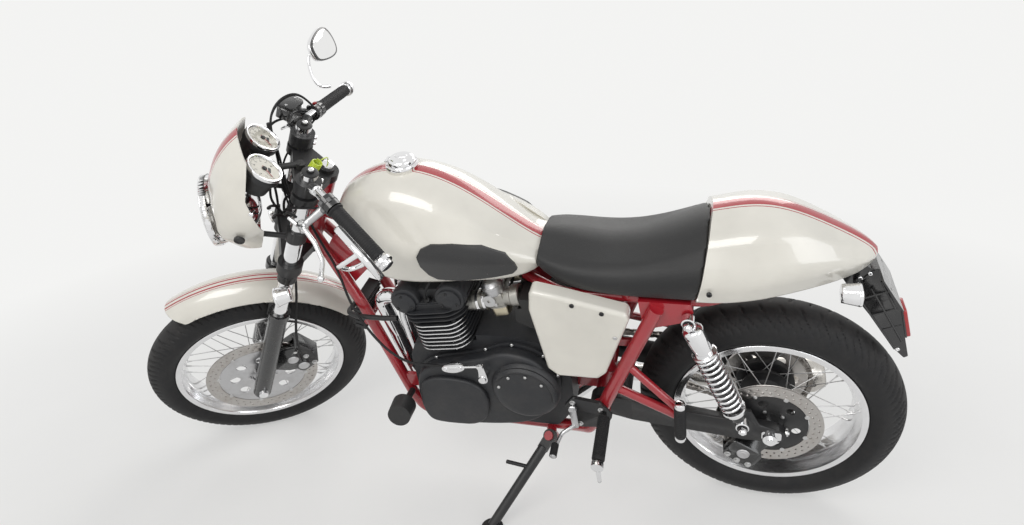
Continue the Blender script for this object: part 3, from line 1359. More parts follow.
    def carburettors(self, kit: Kit) -> None:
        """Pair of carburettors: stubs, bodies, tops, bowls and their linkage."""
        bench, base = Bench(Body.CHASSIS), self.base()
        turn = radians(86)
        way = (base.to_3x3() @ vec(sin(turn), 0, cos(turn))).normalized()
        up = vec(-way.z, 0, way.x)
        start_at = base @ vec(88, 0, self.barrel + 8) + way * 20
        for side in (-1, 1):
            start = start_at + vec(0, side * self.bore_y, 0) + way * 0.3
            flow = Bench.basis(start, vec(0, 1, 0), way)
            shape = [(0, 0), (27, 0), (27.8, 2), (27.6, 7), (24.5, 9), (24.5, 16), (26.5, 18), (26.5, 26), (24, 28),
                     (0, 28)]
            bench.turn("manifold", shape, flow, 48, kit.cast_alloy)
            for z in (4.5, 22):
                shape = [(27.2, z - 3.4), (28.6, z - 3.4), (28.6, z + 3.4), (27.2, z + 3.4)]
                bench.turn("clamp", shape, flow, 48, kit.chrome)
            shape = [(0, 27), (21, 27), (24, 30), (24, 40), (22, 44), (22, 78), (24, 84), (24, 92), (28.5, 96),
                     (28.8, 116), (26, 117.8), (22, 117.8), (20, 100), (0, 98)]
            bench.turn("throat", shape, flow, 56, kit.cast_alloy)
            middle = start + way * 53
            bench.put(bench.box("carb_block", (46, 44, 40), Bench.basis(middle + up * 4, way, up), 5, 3),
                      kit.cast_alloy, 40)
            top_place = Bench.basis(middle, way, up)
            shape = [(0, 20), (25, 20), (26, 22), (26, 36), (28.6, 38), (29, 41), (29, 46), (26, 48), (22, 56),
                     (16, 61), (8, 62), (0, 62)]
            bench.turn("diaphragm", shape, top_place, 56, kit.satin)
            for k in range(3):
                a = radians(20 + 120 * k)
                at = top_place @ vec(26.2 * cos(a), 26.2 * sin(a), 46)
                bench.screw(at, up, kit.steel, 2.8, 2.6, 12)
            bowl_place = top_place @ Matrix.Rotation(pi, 4, "X")
            bench.put(bench.plate("bowl", rounded(46, 40, 12, 6), 30, bowl_place @ move(0, 0, 15), 4), kit.brass)
            bench.put(bench.plate("bowl_lip", rounded(50, 44, 12, 6), 4, bowl_place @ move(0, 0, 14), 1),
                      kit.cast_alloy)
            bench.put(bench.cylinder("drain", bowl_place @ vec(0, 0, 44), bowl_place @ vec(0, 0, 47.4), 6, 5, 6, 0.6),
                      kit.brass)
            bench.put(bench.cylinder("choke", middle + vec(0, side * 20, 0) - up * 4,
                                     middle + vec(0, side * 27, 0) - up * 4, 6, 5, 20, 0.8), kit.steel)
            spindle = Bench.basis(middle + vec(0, side * 24.6, 0) + up * 10 - way * 14, way, vec(0, side, 0))
            bench.turn("wheel", [(4, -2), (17, -2), (17, 2), (4, 2)], spindle, 40, kit.steel)
        bench.put(bench.cylinder("throttle_rail", middle + vec(0, -2 * self.bore_y, 0) + up * 12, middle + up * 12, 4,
                                 sides=16, bevel=0), kit.steel)
        bench.put(bench.box("tie_bar", (10, 2 * self.bore_y - 20, 20),
                            Bench.basis(middle - vec(0, self.bore_y, 0) - up * 6, way, up), 2), kit.cast_alloy)
        fuel = [middle + vec(20, -2 * self.bore_y + 16, -4), middle + vec(26, -60, 12), middle + vec(24, -30, 40),
                middle + vec(10, -26, 92)]
        bench.put(bench.hose("fuel_line", fuel, 4.2), kit.rubber, 60)
        bench.close("carburettor_bank", "carb_alloy", "carburettors")

    def clutch(self, kit: Kit) -> None:
        """Silver clutch arm, its bracket, rod and pinch screws over the left cover."""
        bench = Bench(Body.CHASSIS)
        bracket = round_off([(-800, 494), (-796, 514), (-744, 526), (-732, 512), (-744, 500), (-770, 490)], 2)
        bench.put(bench.plate("bracket", bracket, 9, side_view(-166, -1), 2), kit.polished)
        bench.put(bench.box("bracket_foot", (30, 20, 14), move(-768, -158, 500), 3), kit.polished)
        for x in (-788, -748):
            bench.hexagon(vec(x, -174, 504 if x < -770 else 514), vec(0, -1, 0), kit.chrome, 5, 4)
        arm = round_off([(-700, 530), (-684, 532), (-678, 500), (-676, 476), (-690, 466), (-702, 478), (-698, 504)], 2)
        arm = bench.plate("arm", arm, 6, side_view(-172, -1), 1.4)
        boss = bench.cylinder("arm_boss", vec(-690, -150, 484), vec(-690, -184, 484), 11, 10, 28, 1.5)
        rod = bench.cylinder("rod", vec(-690, -175, 524), vec(-752, -172, 512), 3, sides=14, bevel=0)
        sleeve = bench.cylinder("sleeve", vec(-742, -172, 513), vec(-778, -171, 508), 5.4, sides=18, bevel=0.8)
        clevis = bench.box("clevis", (16, 12, 10), move(-692, -175, 524), 2)
        for o in (arm, boss, rod, sleeve, clevis):
            bench.put(o, kit.polished)
        route = [(-790, -169, 507), (-850, -164, 500), (-905, -158, 498), (-962, -142, 518), (-1010, -128, 568),
                 (-1056, -108, 640), (-1092, -66, 715), (-1128, -52, 790), (-1150, -48, 868), (-1152, -46, 925)]
        bench.put(bench.hose("clutch_cable", route, 3.4, 6, 3, 8), kit.rubber, 60)
        bench.close("clutch_gear", "alloy", "clutch_linkage")

    def build(self, kit: Kit) -> None:
        """Dresses the whole engine."""
        self.barrels(kit)
        self.head(kit)
        self.covers(kit)
        self.carburettors(kit)
        self.clutch(kit)


# Cockpit

def near(points: Sequence[Vector], reach: float) -> Callable[[Vector], bool]:
    """Test whether a place lies within reach of a chain of straight runs."""
    def test(at: Vector) -> bool:
        """Whether one place does."""
        for a, b in zip(points, points[1:]):
            run = b - a
            share = min(1.0, max(0.0, (at - a).dot(run) / run.length_squared))
            if (a + run * share - at).length < reach:
                return True
        return False
    return test


def clip(side: int, step: Triple) -> Vector:
    """Point a step away from the middle of a clip-on's clamp, with y counted outwards."""
    return vec(CLAMP[0] + step[0], side * (CLAMP[1] + step[1]), CLAMP[2] + step[2])


def leg(height: float, side: int) -> Vector:
    """Point on a fork leg's axis, at a height up the steering axis."""
    return stem(LEG_FORE, side * LEG_SIDE, height)


@dataclass
class Cockpit:
    """Clip-ons with grips, switches and levers, dials, fork caps, and the hoses between them."""

    root: Triple = (24.3, 51, 19.6)
    grip: Triple = (48.3, 108, -10.4)
    end: Triple = (124.3, 240, -57.4)
    lever: Tuple[Triple, ...] = ((-27.7, 105, -26.4), (-8.7, 150, -42.4), (0.3, 195, -61.4), (-10.7, 235, -70.4))
    bowl: Triple = (-17, 92, 32)
    dial: Triple = (-1211, 60, 1086)
    dial_facing: Triple = (0.75, 0, 0.66)
    cap_height: float = 1168
    dial_sweep: float = 270
    dial_ticks: int = 40
    coil_turns: int = 11

    def along(self, side: int) -> Vector:
        """Direction of a bar, outwards."""
        return (clip(side, self.end) - clip(side, self.root)).normalized()

    def grip_from(self, side: int) -> Vector:
        """Where the grip starts on its bar."""
        root = clip(side, self.root)
        return root + self.along(side) * (clip(side, self.grip) - root).length

    def grips(self, kit: Kit) -> None:
        """Ribbed rubber grips with a flange at their inner end."""
        bench, parts = Bench(Body.STEERING), []
        for side in (-1, 1):
            start, end = self.grip_from(side), clip(side, self.end)
            length = (end - start).length
            profile = [(11.3, 0), (19.6, 0), (20, 1), (20, 3), (18, 5)]
            for k in range(int((length - 12) / 6)):
                z = 7 + 6 * k
                profile += [(16.2, z), (17, z + 1), (17, z + 4), (16.2, z + 5)]
            profile += [(17, length - 4), (16, length), (11.3, length)]
            parts.append(bench.lathe("grip", profile, Bench.aim(start, end - start), 40))
        bench.finish(bench.paint(bench.join("ribbed_grips", parts), kit.rubber, 40), "rubber", "grips")

    def bars(self, kit: Kit) -> None:
        """Chrome tubes on black clamps, with pinch bolts and caps on the fork legs."""
        bench = Bench(Body.STEERING)
        for side in (-1, 1):
            for h in (1120, 1138):
                at = leg(h, side) + RAKE_FORE * 30 + vec(0, side * -9, 0)
                bench.screw(at, RAKE_FORE, kit.polished, 5.5, 6, 18)
            cap = [(0, 6), (5, 6), (5, 9), (9, 9), (9, 4), (16, 4), (19.5, 3), (20.6, 1), (20.6, -0.3), (0, -0.3)]
            place = Bench.aim(leg(self.cap_height, side), RAKE_DIR)
            bench.turn("fork_cap", cap, place, 40, kit.black)
            bench.put(bench.cylinder("adjuster", leg(self.cap_height + 3, side), leg(self.cap_height + 11, side), 7.5,
                                     sides=6), kit.polished, 30)
        bench.put(bench.cylinder("stem_nut", stem(0, 0, 1114.5), stem(0, 0, 1124), 17, sides=6, bevel=1), kit.chrome,
                  30)

        def is_clamp(at: Vector) -> bool:
            """Whether a face belongs to a clamp."""
            side = 1 if at.y > 0 else -1
            return abs(at.y) < 141 and near([leg(1080, side), leg(1175, side)], 52)(at)
        bench.dress("handlebars", "clip_ons", [(is_clamp, kit.black)], kit.chrome, "chrome")

    def controls(self, kit: Kit) -> None:
        """Levers, perches, switch pods and the front brake's reservoir."""
        bench, finishes = Bench(Body.STEERING), []
        for side in (-1, 1):
            along, start = self.along(side), self.grip_from(side)
            finishes.append((near([clip(side, step) for step in self.lever], 9.5), kit.polished))
            if side < 0:
                finishes.append((near([start - along * 22, clip(side, self.lever[0])], 13), kit.satin))
            up = (vec(0, 0, 1) - along * along.z).normalized()
            back = along.cross(up) * -side
            pod = start - along * 20
            for turn, shift, size, colour in ((0, 0, (11, 9, 5), kit.switch_red if side > 0 else kit.switch_grey),
                                              (48, -8, (9, 8, 5), kit.switch_grey),
                                              (88, 4, (13, 12, 6), kit.switch_grey)):
                a = radians(turn)
                out = up * cos(a) + back * sin(a)
                place = Bench.basis(pod + along * shift + out * 22.4, along, out)
                bench.put(bench.box("switch", size, place, 1.4), colour)
            shape = [(20.8, -0.8), (21.7, -0.8), (21.7, 0.8), (20.8, 0.8)]
            bench.turn("pod_seam", shape, Bench.aim(pod, along), 40, kit.black)
            pivot = clip(side, self.lever[0])
            bench.screw(pivot + vec(0, 0, 12), vec(0, 0, 1), kit.steel, 6.5, 4)
            bench.put(bench.cylinder("adjuster", pivot - along * 8 + vec(-7, 0, 0), pivot - along * 34 + vec(-12, 0, 2),
                                     5.5, 4, 18, 0.8), kit.polished)
        lid_at = Bench.basis(clip(1, self.bowl) + RAKE_DIR * 20, self.along(1), RAKE_DIR)
        lid = bench.plate("lid", rounded(64, 48, 10), 4, lid_at, 1)
        band = bench.plate("lid_lip", rounded(66, 50, 11), 2.4, lid_at @ move(0, 0, -3.4), 0.6)
        bench.put(lid, kit.gloss_black)
        bench.put(band, kit.black)
        for x in (-23, 23):
            bench.screw(lid_at @ vec(x, 0, 4), RAKE_DIR, kit.steel, 3.4, 2, 14)
        bench.dress("hand_controls", "controls_dressed", finishes, kit.gloss_black, "black_paint")

    def dials(self, kit: Kit) -> None:
        """Two pale dials with ticks, numbers, needles and bright bezels."""
        bench = Bench(Body.STEERING)
        facing = Vector(self.dial_facing).normalized()
        for side, share in ((-1, 0.02), (1, 0.0)):
            place = Bench.basis(vec(self.dial[0], side * self.dial[1], self.dial[2]), vec(0, 1, 0), facing)
            bezel = [(37.5, 3.4), (38.5, 6.5), (41, 9), (44.4, 8.6), (45.8, 6), (46, 2), (45.2, 0), (44.8, 3.2)]
            bench.turn("bezel", bezel, place, 96, kit.polished, 40)
            cup = [(45.3, 0), (46.6, -3), (46, -14), (43.4, -15), (43, 0)]
            bench.turn("cup_lip", cup, place, 72, kit.black, 40)
            bench.turn("dial", [(0, 3.2), (38.6, 3.2), (38.6, 4.4), (0, 4.4)], place, 72, kit.dial, 40)
            marks = []
            for k in range(self.dial_ticks + 1):
                a = radians(-self.dial_sweep / 2 + self.dial_sweep * k / self.dial_ticks)
                long = 6 if k % 5 == 0 else 3
                mark = bench.box("tick", (0.9 if k % 5 == 0 else 0.5, long, 0.3),
                                 place @ Matrix.Rotation(-a, 4, "Z") @ move(0, 35.8 - long / 2, 4.5), 0)
                marks.append(mark)
                if k % 5 == 0:
                    bpy.ops.object.select_all(action="DESELECT")
                    bpy.ops.object.text_add(location=(0, 0, 0))
                    number = bpy.context.active_object
                    number.data.body, number.data.size = str(k // 5), 7.5
                    number.data.align_x, number.data.align_y, number.data.extrude = "CENTER", "CENTER", 0.12
                    bench.only(number)
                    bpy.ops.object.convert(target="MESH")
                    number = bpy.context.active_object
                    number.data.transform(place @ move(25 * sin(a), 25 * cos(a), 4.55))
                    marks.append(number)
            window = bench.plate("window", rounded(17, 7, 2), 0.5, place @ move(0, -13, 4.3), 0)
            for o in (*marks, window):
                bench.put(o, kit.black)
            reading = Matrix.Rotation(radians(self.dial_sweep / 2 - self.dial_sweep * share), 4, "Z")
            needle = bench.plate("needle", [(-1.5, -8), (1.5, -8), (0.5, 31), (-0.5, 31)], 0.7,
                                 place @ move(0, 0, 6) @ reading, 0)
            hub = bench.lathe("needle_hub", [(0, 8.6), (4.4, 8.2), (6, 7), (6, 4.3), (0, 4.3)], place, 32)
            bench.put(needle, kit.switch_red)
            bench.put(hub, kit.black, 40)
        bench.close("dials", "black_paint")

    def hoses(self, kit: Kit) -> None:
        """Throttle cables and brake hose arched over the reservoir, looms, and the wound lanyard."""
        bench, parts = Bench(Body.STEERING), []
        fall = [vec(-1201, 88, 1004), vec(-1214, 52, 930), vec(-1206, 24, 872)]
        for shift in (0, 9):
            arch = [clip(1, (46, 84, 20)), clip(1, (34, 84, 58)), clip(1, (10, 74 - shift, 88 + shift)),
                    clip(1, (-34, 52 - shift, 86 + shift)), clip(1, (-64, 16 - shift, 62)),
                    *[p + vec(shift * 0.8, -shift, 0) for p in fall]]
            parts.append(bench.hose("throttle_cable", arch, 3.1, 6, 3, 8))
        boot = bench.cylinder("boot", clip(1, (-64, 12, 62)), clip(1, (-72, 2, 24)), 5.6, 4.4, 20, 0.8)
        parts.append(boot)
        brake = [clip(1, (-30, 88, 8)), clip(1, (-62, 66, 30)), clip(1, (-88, 18, 22)), clip(1, (-100, -30, -40)),
                 vec(-1236, 34, 900), vec(-1262, 6, 830), vec(-1265.5, -6, 776)]
        parts.append(bench.hose("brake_feed", brake, 3.5, 6, 3, 8))
        for side in (-1, 1):
            loom = [clip(side, (40, 88, -16)), clip(side, (18, 66, -22)), clip(side, (-20, 40, -34)),
                    clip(side, (-66, 0, -50)), vec(-1218, side * 52, 930), vec(-1216, side * 30, 880)]
            parts.append(bench.hose("switch_loom", loom, 2.8, 4, 3, 6))
        for side, low in ((-1, 895), (-1, 930), (1, 905)):
            tie = [vec(-1236, side * 70, low + 44), vec(-1252, side * 44, low + 20), vec(-1246, side * 10, low),
                   vec(-1232, 0, low - 22)]
            parts.append(bench.hose("harness", tie, 3.6, 4, 3, 6))
        bench.finish(bench.paint(bench.join("cockpit_hoses", parts), kit.rubber, 60), "rubber")
        low, high = stem(-50, -45, 1118), stem(-35, -45, 1164)
        lanyard = bench.coil("lanyard", Bench.aim(low, high - low), 12, 2.3, 46, self.coil_turns)
        tail = [high + vec(8, 0, 2), stem(-14, -30, 1168), stem(-4, -8, 1146), stem(0, 0, 1125)]
        lanyard = bench.join("lanyard", [lanyard, bench.hose("lanyard_end", tail, 1.8, 4)])
        bench.finish(bench.paint(lanyard, kit.lime, 60), "rubber")

    def clutch_cable(self, kit: Kit) -> None:
        """Cable from the left lever to the frame, which bends as the fork turns."""
        bench = Bench(Body.STEERING)
        across = STANCE.steered.inverted() @ STANCE.chassis
        foot = across @ vec(-1152, -46, 921)
        route = [clip(-1, (-40, 70, -24)), clip(-1, (-56, 40, -34)), clip(-1, (-74, 0, -66)), vec(-1214, -70, 936),
                 foot + vec(-34, -8, 34), foot + vec(-4, 0, 14), foot]
        cable = bench.paint(bench.hose("clutch_cable_upper", route, 3.4, 6, 3, 10), kit.rubber, 60)
        cable.data.transform(STANCE.steered)
        ends = [tuple(STANCE.steered @ p) for p in (route[3], foot)]
        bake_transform(cable)

    def build(self, kit: Kit) -> None:
        """Dresses everything that the rider holds and reads."""
        self.grips(kit)
        self.bars(kit)
        self.controls(kit)
        self.dials(kit)
        self.hoses(kit)
        self.clutch_cable(kit)


@dataclass
class Mirrors:
    """Bar-end mirrors: rounded shells with a dark rim, on swept stalks that clamp round the weights."""

    at: Triple = (108, 318, 65)
    facing: Triple = (0.9, -0.38, 0.2)
    across: Triple = (0.38, 0.9, 0)
    outline: Tuple[Pair, ...] = ((-76, 2), (-66, 46), (38, 42), (62, -2), (52, -58), (10, -58), (-64, -22))
    stalk: Tuple[Triple, ...] = ((90, 257, -42), (62, 262, -44), (47, 273, -16), (47, 297, 17), (56, 322, 44))
    weight_at: Triple = (130.5, 251.6, -62.1)
    depth: float = 16

    def one(self, kit: Kit) -> Obj:
        """The right mirror."""
        bench = Bench(Body.STEERING)
        facing = Vector(self.facing).normalized()
        head = clip(1, self.at)
        place = Bench.basis(head, Vector(self.across), facing)
        edge = round_off(self.outline, 3)
        middle = (sum(x for x, _ in edge) / len(edge), sum(y for _, y in edge) / len(edge))

        def scaled(share: float) -> List[Pair]:
            """The outline drawn in about its middle."""
            return [(middle[0] + (x - middle[0]) * share, middle[1] + (y - middle[1]) * share) for x, y in edge]
        shell = bench.plate("shell", edge, self.depth - 2, place @ move(0, 0, -self.depth), 0)
        bench.rims(shell, 6, 4, 50)
        bench.paint(shell, kit.chrome, 50)
        rim = bench.plate("rim", scaled(0.985), 4, place @ move(0, 0, -3.4), 1.2)
        bench.paint(rim, kit.gloss_black, 40)
        glass = bench.plate("glass", scaled(0.87), 0.8, place @ move(0, 0, 0.3), 0.2)
        bench.paint(glass, kit.silvering, 30)
        points = [clip(1, step) for step in self.stalk] + [head - facing * (self.depth - 3)]
        stalk = bench.hose("stalk", points, 5, 8, 3, 8, [1.25, 1.1, 1, 1, 1, 1.2])
        bench.paint(stalk, kit.chrome, 60)
        weight = clip(1, self.weight_at)
        boss = bench.cylinder("boss", points[-1] - facing * 3, head - facing * (self.depth - 5), 11, 9, 28, 1.5)
        bench.paint(boss, kit.chrome, 40)
        ring = bench.lathe("ring", [(16.3, -5), (21, -5), (22, -4), (22, 4), (21, 5), (16.3, 5)],
                           Bench.aim(weight, clip(1, Cockpit.end) - clip(1, Cockpit.root)), 48)
        bench.paint(ring, kit.chrome, 35)
        return bench.join("mirror", [shell, rim, glass, stalk, boss, ring])

    def build(self, kit: Kit) -> None:
        """Makes both mirrors in place of their node."""
        bench = Bench(Body.STEERING)
        pair = bench.copies(self.one(kit), [Matrix(), Matrix.Diagonal((1, -1, 1, 1))])
        bench.finish(bench.join("bar_end_mirrors", pair), "chrome", "mirrors")


# Lamps

@dataclass
class Lamps:
    """Headlamp, indicators and tail lamp with their lenses and bright rims."""

    lamp: Triple = (-1382, 0, 960)
    high: Triple = (262, 0, 662)
    low: Triple = (281, 0, 580)

    def headlamp(self, kit: Kit) -> None:
        """Bowl, bright rim, ribbed lens and black brackets."""
        bench = Bench(Body.STEERING)
        facing, centre = vec(-1, 0, 0.08).normalized(), Vector(self.lamp)
        place = Bench.basis(centre, vec(0, 1, 0), facing)
        rim = [(82, 6.3), (84, 8), (88, 8.8), (91, 7.8), (92, 6), (92, 5.2), (90, 5), (82, 5.6)]
        lens = [(0, 9.2), (30, 9), (56, 8.4), (74, 7.5), (83.6, 6.7), (83.6, 6), (0, 6)]
        bench.turn("lamp_rim", rim, place, 96, kit.chrome, 40)
        bench.turn("lamp_lens", lens, place, 96, kit.lamp_glass, 40)

        def is_bracket(at: Vector) -> bool:
            """Whether a face belongs to a bracket."""
            return at.x > -1372 and (at - vec(-1352, 0, 957.6)).length > 92
        bench.dress("headlamp", "headlamp_dressed", [(is_bracket, kit.black)], kit.chrome, "chrome")

    @staticmethod
    def bulb(bench: Bench, at: Vector, out: Vector, kit: Kit, radius: float = 25) -> None:
        """Domed lens in a bright rim at an indicator's mouth."""
        place = Bench.aim(at, out)
        lens = [(0, 8), (radius * 0.45, 7), (radius * 0.8, 3.6), (radius - 1.5, 0.4), (radius - 1.5, 0), (0, 0)]
        rim = [(radius - 2.2, 0), (radius - 1.6, 2), (radius - 0.4, 2.2), (radius + 0.4, 0.8), (radius + 0.4, -3),
               (radius - 0.6, -3)]
        bench.turn("bulb_lens", lens, place, 48, kit.clear, 40)
        bench.turn("bulb_rim", rim, place, 48, kit.chrome, 40)

    def indicators(self, kit: Kit) -> None:
        """Four indicators: bright bodies on black stalks."""
        for body, end, mouths, ahead, stalk in (
                (Body.STEERING, "front", [leg(814, side) + vec(-34, side * 60, -4) for side in (-1, 1)], -1, 134),
                (Body.CHASSIS, "rear", [vec(158, side * 100, 760) for side in (-1, 1)], 1, 78)):
            bench = Bench(body)
            for mouth in mouths:
                self.bulb(bench, mouth, vec(ahead, 0, 0), kit)
            bench.dress(end + "_indicators", end + "_indicators_dressed",
                        [(lambda at, stalk=stalk: abs(at.y) < stalk, kit.black)], kit.chrome, "chrome")

    def tail(self, kit: Kit) -> None:
        """Ribs and edge beads on the carrier, a bare plate, and the red lamp in its frame."""
        bench = Bench(Body.CHASSIS)
        high, low = Vector(self.high), Vector(self.low)
        down = (low - high).normalized()
        out = vec(-down.z, 0, down.x)
        middle = (high + low) / 2 + out * 0.6
        place = Bench.basis(middle, vec(0, 1, 0), out)
        lens = bench.plate("tail_lens", rounded(51, 80, 9, 6), 12, place, 0)
        bench.rims(lens, 3, 3, 50)
        frame_rim = bench.plate("tail_rim", rounded(55, 84, 10, 6), 4, place, 1)
        bench.put(lens, kit.red_lens, 40)
        bench.put(frame_rim, kit.gloss_black, 40)
        bench.close("tail_lamp_dressed", "lamp_red", "tail_lamp")
        for side in (-1, 1):
            for (xa, za), (xb, zb) in (((176, 690), (262, 552)), ((196, 722), (274, 575)), ((214, 742), (252, 664)),
                                       ((160, 726), (196, 770)), ((178, 690), (232, 716)), ((206, 646), (254, 668)),
                                       ((232, 606), (268, 622))):
                bench.put(bench.cylinder("rib", vec(xa, side * 28, za), vec(xb, side * 28, zb), 2.6, sides=10, bevel=0),
                          kit.gloss_black)
            for x, z in ((172, 748), (190, 762), (268, 552)):
                bench.screw(vec(x, side * 28, z), vec(0, side, 0), kit.chrome, 5, 3, 16)
        bench.dress("plate_carrier", "plate_carrier_dressed", [], kit.gloss_black, "black_plastic")

    def build(self, kit: Kit) -> None:
        """Dresses every lamp."""
        self.headlamp(kit)
        self.indicators(kit)
        self.tail(kit)


# Bodywork and running gear

@dataclass
class Trim:
    """Fasteners, caps, edge beads, pegs, caliper pistons and straps."""

    cap: Triple = (-872, 0, 1007)

    def filler(self, kit: Kit) -> None:
        """Flat chrome cap with its hinge, flap and neck ring."""
        bench = Bench(Body.CHASSIS)
        place = Matrix.Translation(Vector(self.cap))
        lid = [(0, 18), (22, 18), (25, 17.4), (26, 15), (30, 14), (33, 12), (34, 9), (34, 0.3), (0, 0.3)]
        neck = [(34.6, -6), (40.4, -6), (40.4, -1), (39, 1.2), (36, 1.6), (34.6, 0.4)]
        parts = [bench.lathe("cap", lid, place, 72), bench.lathe("neck", neck, place, 72),
                 bench.box("hinge", (12, 24, 7), place @ move(-34, 0, 8), 2),
                 bench.plate("flap", rounded(30, 12, 4), 1.8, place @ move(2, 0, 17.8), 0.6)]
        whole = bench.paint(bench.join("filler_cap_hinged", parts), kit.chrome, 40)
        bench.finish(whole, "chrome", "filler_cap")

    def panels(self, kit: Kit) -> None:
        """Screws on the side panels and tail, and rubber beads on edges."""
        bench = Bench(Body.CHASSIS)
        for side in (-1, 1):
            for at, radius, height, sides in (((-446, 158, 727), 5.6, 2.6, 24), ((-379, 158, 709), 5.6, 2.6, 24),
                                              ((-145, 149, 777), 6, 4.5, 20)):
                bench.screw(vec(at[0], side * at[1], at[2]), vec(0, side, 0), kit.black, radius, height, sides, 40)
            edge = [(-326, side * 130, 706), (-320, side * 132, 690), (-350, side * 132, 602),
                    (-384, side * 132, 512), (-402, side * 132, 497)]
            bench.put(bench.hose("panel_bead", edge, 3.2, 4, 2, 1), kit.black, 40)
        for side in (-1, 1):
            bench.screw(vec(-352, side * 158, 640), vec(0, side, 0), kit.steel, 5, 3, 18)
        bench.close("panel_fasteners", "black_paint")
        bench = Bench(Body.STEERING)
        for side in (-1, 1):
            place = Bench.aim(vec(-1318, side * 131, 956), vec(-0.3, side, -0.06))
            hole = [(0, 1.2), (9, 1.2), (9.4, 2.4), (12.4, 2.4), (13, 1), (13, -3), (0, -3)]
            bench.turn("grommet", hole, place, 36, kit.black)
            bench.screw(vec(-1262, side * 136.4, 1030), vec(-0.2, side, 0.24), kit.chrome, 5.5, 3.6, 20)
        bench.close("cowl_fasteners", "black_paint")

    def guard(self, kit: Kit) -> None:
        """Front mudguard with its stays left black."""
        bench = Bench(Body.STEERING)
        for side in (-1, 1):
            for h in (0, 17):
                at = leg(434.6 + h, side)
                bench.hexagon(vec(at.x, side * 56.4, at.z), vec(0, -side, 0), kit.steel, 5, 3)
        bench.dress("front_mudguard", "front_mudguard_painted",
                    [(lambda at: hypot(at.x + 1490, at.z - 318.5) < 337.6 or abs(at.y) > 60.5, kit.black)],
                    kit.guard, "white_paint")

    def calipers(self, kit: Kit) -> None:
        """Piston caps and bolts on both calipers."""
        front = move(-1360.3, -60, 376.3) @ Matrix.Rotation(radians(-24), 4, "Y")
        rear_at = (142 - 28.5) * vec(cos(radians(238)), 0, sin(radians(238)))
        rear = move(rear_at.x, -75, 320 + rear_at.z) @ Matrix.Rotation(radians(-238), 4, "Y")
        for body, node, place, face, spots in ((Body.STEERING, "front_caliper", front, -31, ((-6, 22), (-6, -24))),
                                               (Body.CHASSIS, "rear_caliper", rear, -25, ((-4, 0),))):
            bench = Bench(body)
            depth = -37 if node == "front_caliper" else -25
            for x, z in spots:
                at = place @ vec(x, depth - 0.2, z)
                out = place.to_3x3() @ vec(0, -1, 0)
                shape = [(0, 3), (9, 3), (10, 2), (14, 2), (16, 0), (16, -1), (0, -1)]
                bench.turn("piston_cap", shape, Bench.aim(at, out), 36, kit.satin)
            for x, z in ((20, 42), (20, -42), (24, 0)):
                at = place @ vec(x, face, z if node == "front_caliper" else z * 0.7)
                bench.hexagon(at, place.to_3x3() @ vec(0, -1, 0), kit.steel, 6, 4)
            bench.dress(node, node + "_dressed", [], kit.gloss_black, "black_paint")

    def rests(self, kit: Kit) -> None:
        """Ribbed pegs, pedal rubbers and the folded pillion pegs."""
        bench = Bench(Body.CHASSIS)
        for side in (-1, 1):
            start, end = vec(-392, side * 168, 381.2), vec(-392, side * 286, 370.6)
            length = (end - start).length
            profile = [(13.1, 0)]
            for k in range(int(length / 6)):
                profile += [(14, k * 6 + 0.5), (15.6, k * 6 + 1.4), (15.6, k * 6 + 3.8), (14, k * 6 + 4.8)]
            profile += [(13.1, length)]
            bench.turn("peg", profile, Bench.aim(start, end - start), 28, kit.rubber, 40)
            y = side * 178.3
            profile = [(12.1, 0)]
            for k in range(15):
                profile += [(12.8, k * 6 + 0.6), (14.4, k * 6 + 1.6), (14.4, k * 6 + 4), (12.8, k * 6 + 5)]
            profile += [(12.1, 91)]
            bench.turn("pillion_peg", profile, move(-208, y, 366), 28, kit.rubber, 40)
            for z, up in ((352, -1), (470, 1)):
                shape = [(0, 3), (8, 3), (12, 1), (13, -2), (13, -10), (12.1, -10), (12.1, -0.2), (0, -0.2)]
                bench.turn("peg_end", shape, Bench.aim(vec(-208, y, z), vec(0, 0, up)), 32, kit.chrome)
            for x, z in ((-470, 415), (-400, 400), (-455, 345)):
                bench.hexagon(vec(x, side * 160, z), vec(0, side, 0), kit.steel, 5.5, 4)
        bench.dress("footrests", "footrests_dressed", [(lambda at: abs(at.y) > 289, kit.polished)], kit.black,
                    "black_paint")
        tip = bench.lathe("pedal_rubber", [(8.1, 0), (9.6, 1), (9.6, 34), (8.1, 35)],
                          Bench.aim(vec(-512, -214.6, 323), vec(0, -36, -3)), 28)
        bench.put(tip, kit.rubber)
        bench.dress("foot_controls", "foot_controls_dressed", [], kit.satin, "alloy")

    def pipes(self, kit: Kit) -> None:
        """Bright headers, a brushed silencer and the clamps that join them."""
        bench = Bench(Body.CHASSIS)
        front, back = vec(-360, 178, 190), vec(160, 196, 232)
        way = (back - front).normalized()
        for run, radius in ((6, 24), (392, 56)):
            place = Bench.aim(front + way * run, way)
            shape = [(radius - 1.4, -7), (radius + 1.6, -7), (radius + 1.6, 7), (radius - 1.4, 7)]
            bench.turn("band", shape, place, 64, kit.polished)
        bench.dress("exhaust", "exhaust_dressed", [(lambda at: at.x > -356, kit.brushed)], kit.chrome, "steel")

    def arm(self, kit: Kit) -> None:
        """Chain adjusters and axle nuts at the swingarm's ends."""
        bench = Bench(Body.CHASSIS)
        for side in (-1, 1):
            plate = bench.plate("adjuster", rounded(46, 26, 6), 3, side_view(side * 112.2, side) @ move(4, 320, 0), 0.8)
            bench.put(plate, kit.polished)
            bolt = bench.cylinder("adjuster_bolt", vec(18, side * 100, 320), vec(46, side * 100, 320), 4, sides=14)
            nut = bench.cylinder("adjuster_nut", vec(36, side * 100, 320), vec(43, side * 100, 320), 8, sides=6)
            bench.put(bolt, kit.steel)
            bench.put(nut, kit.steel, 30)
        bench.dress("swingarm", "swingarm_dressed", [], kit.black, "black_paint")

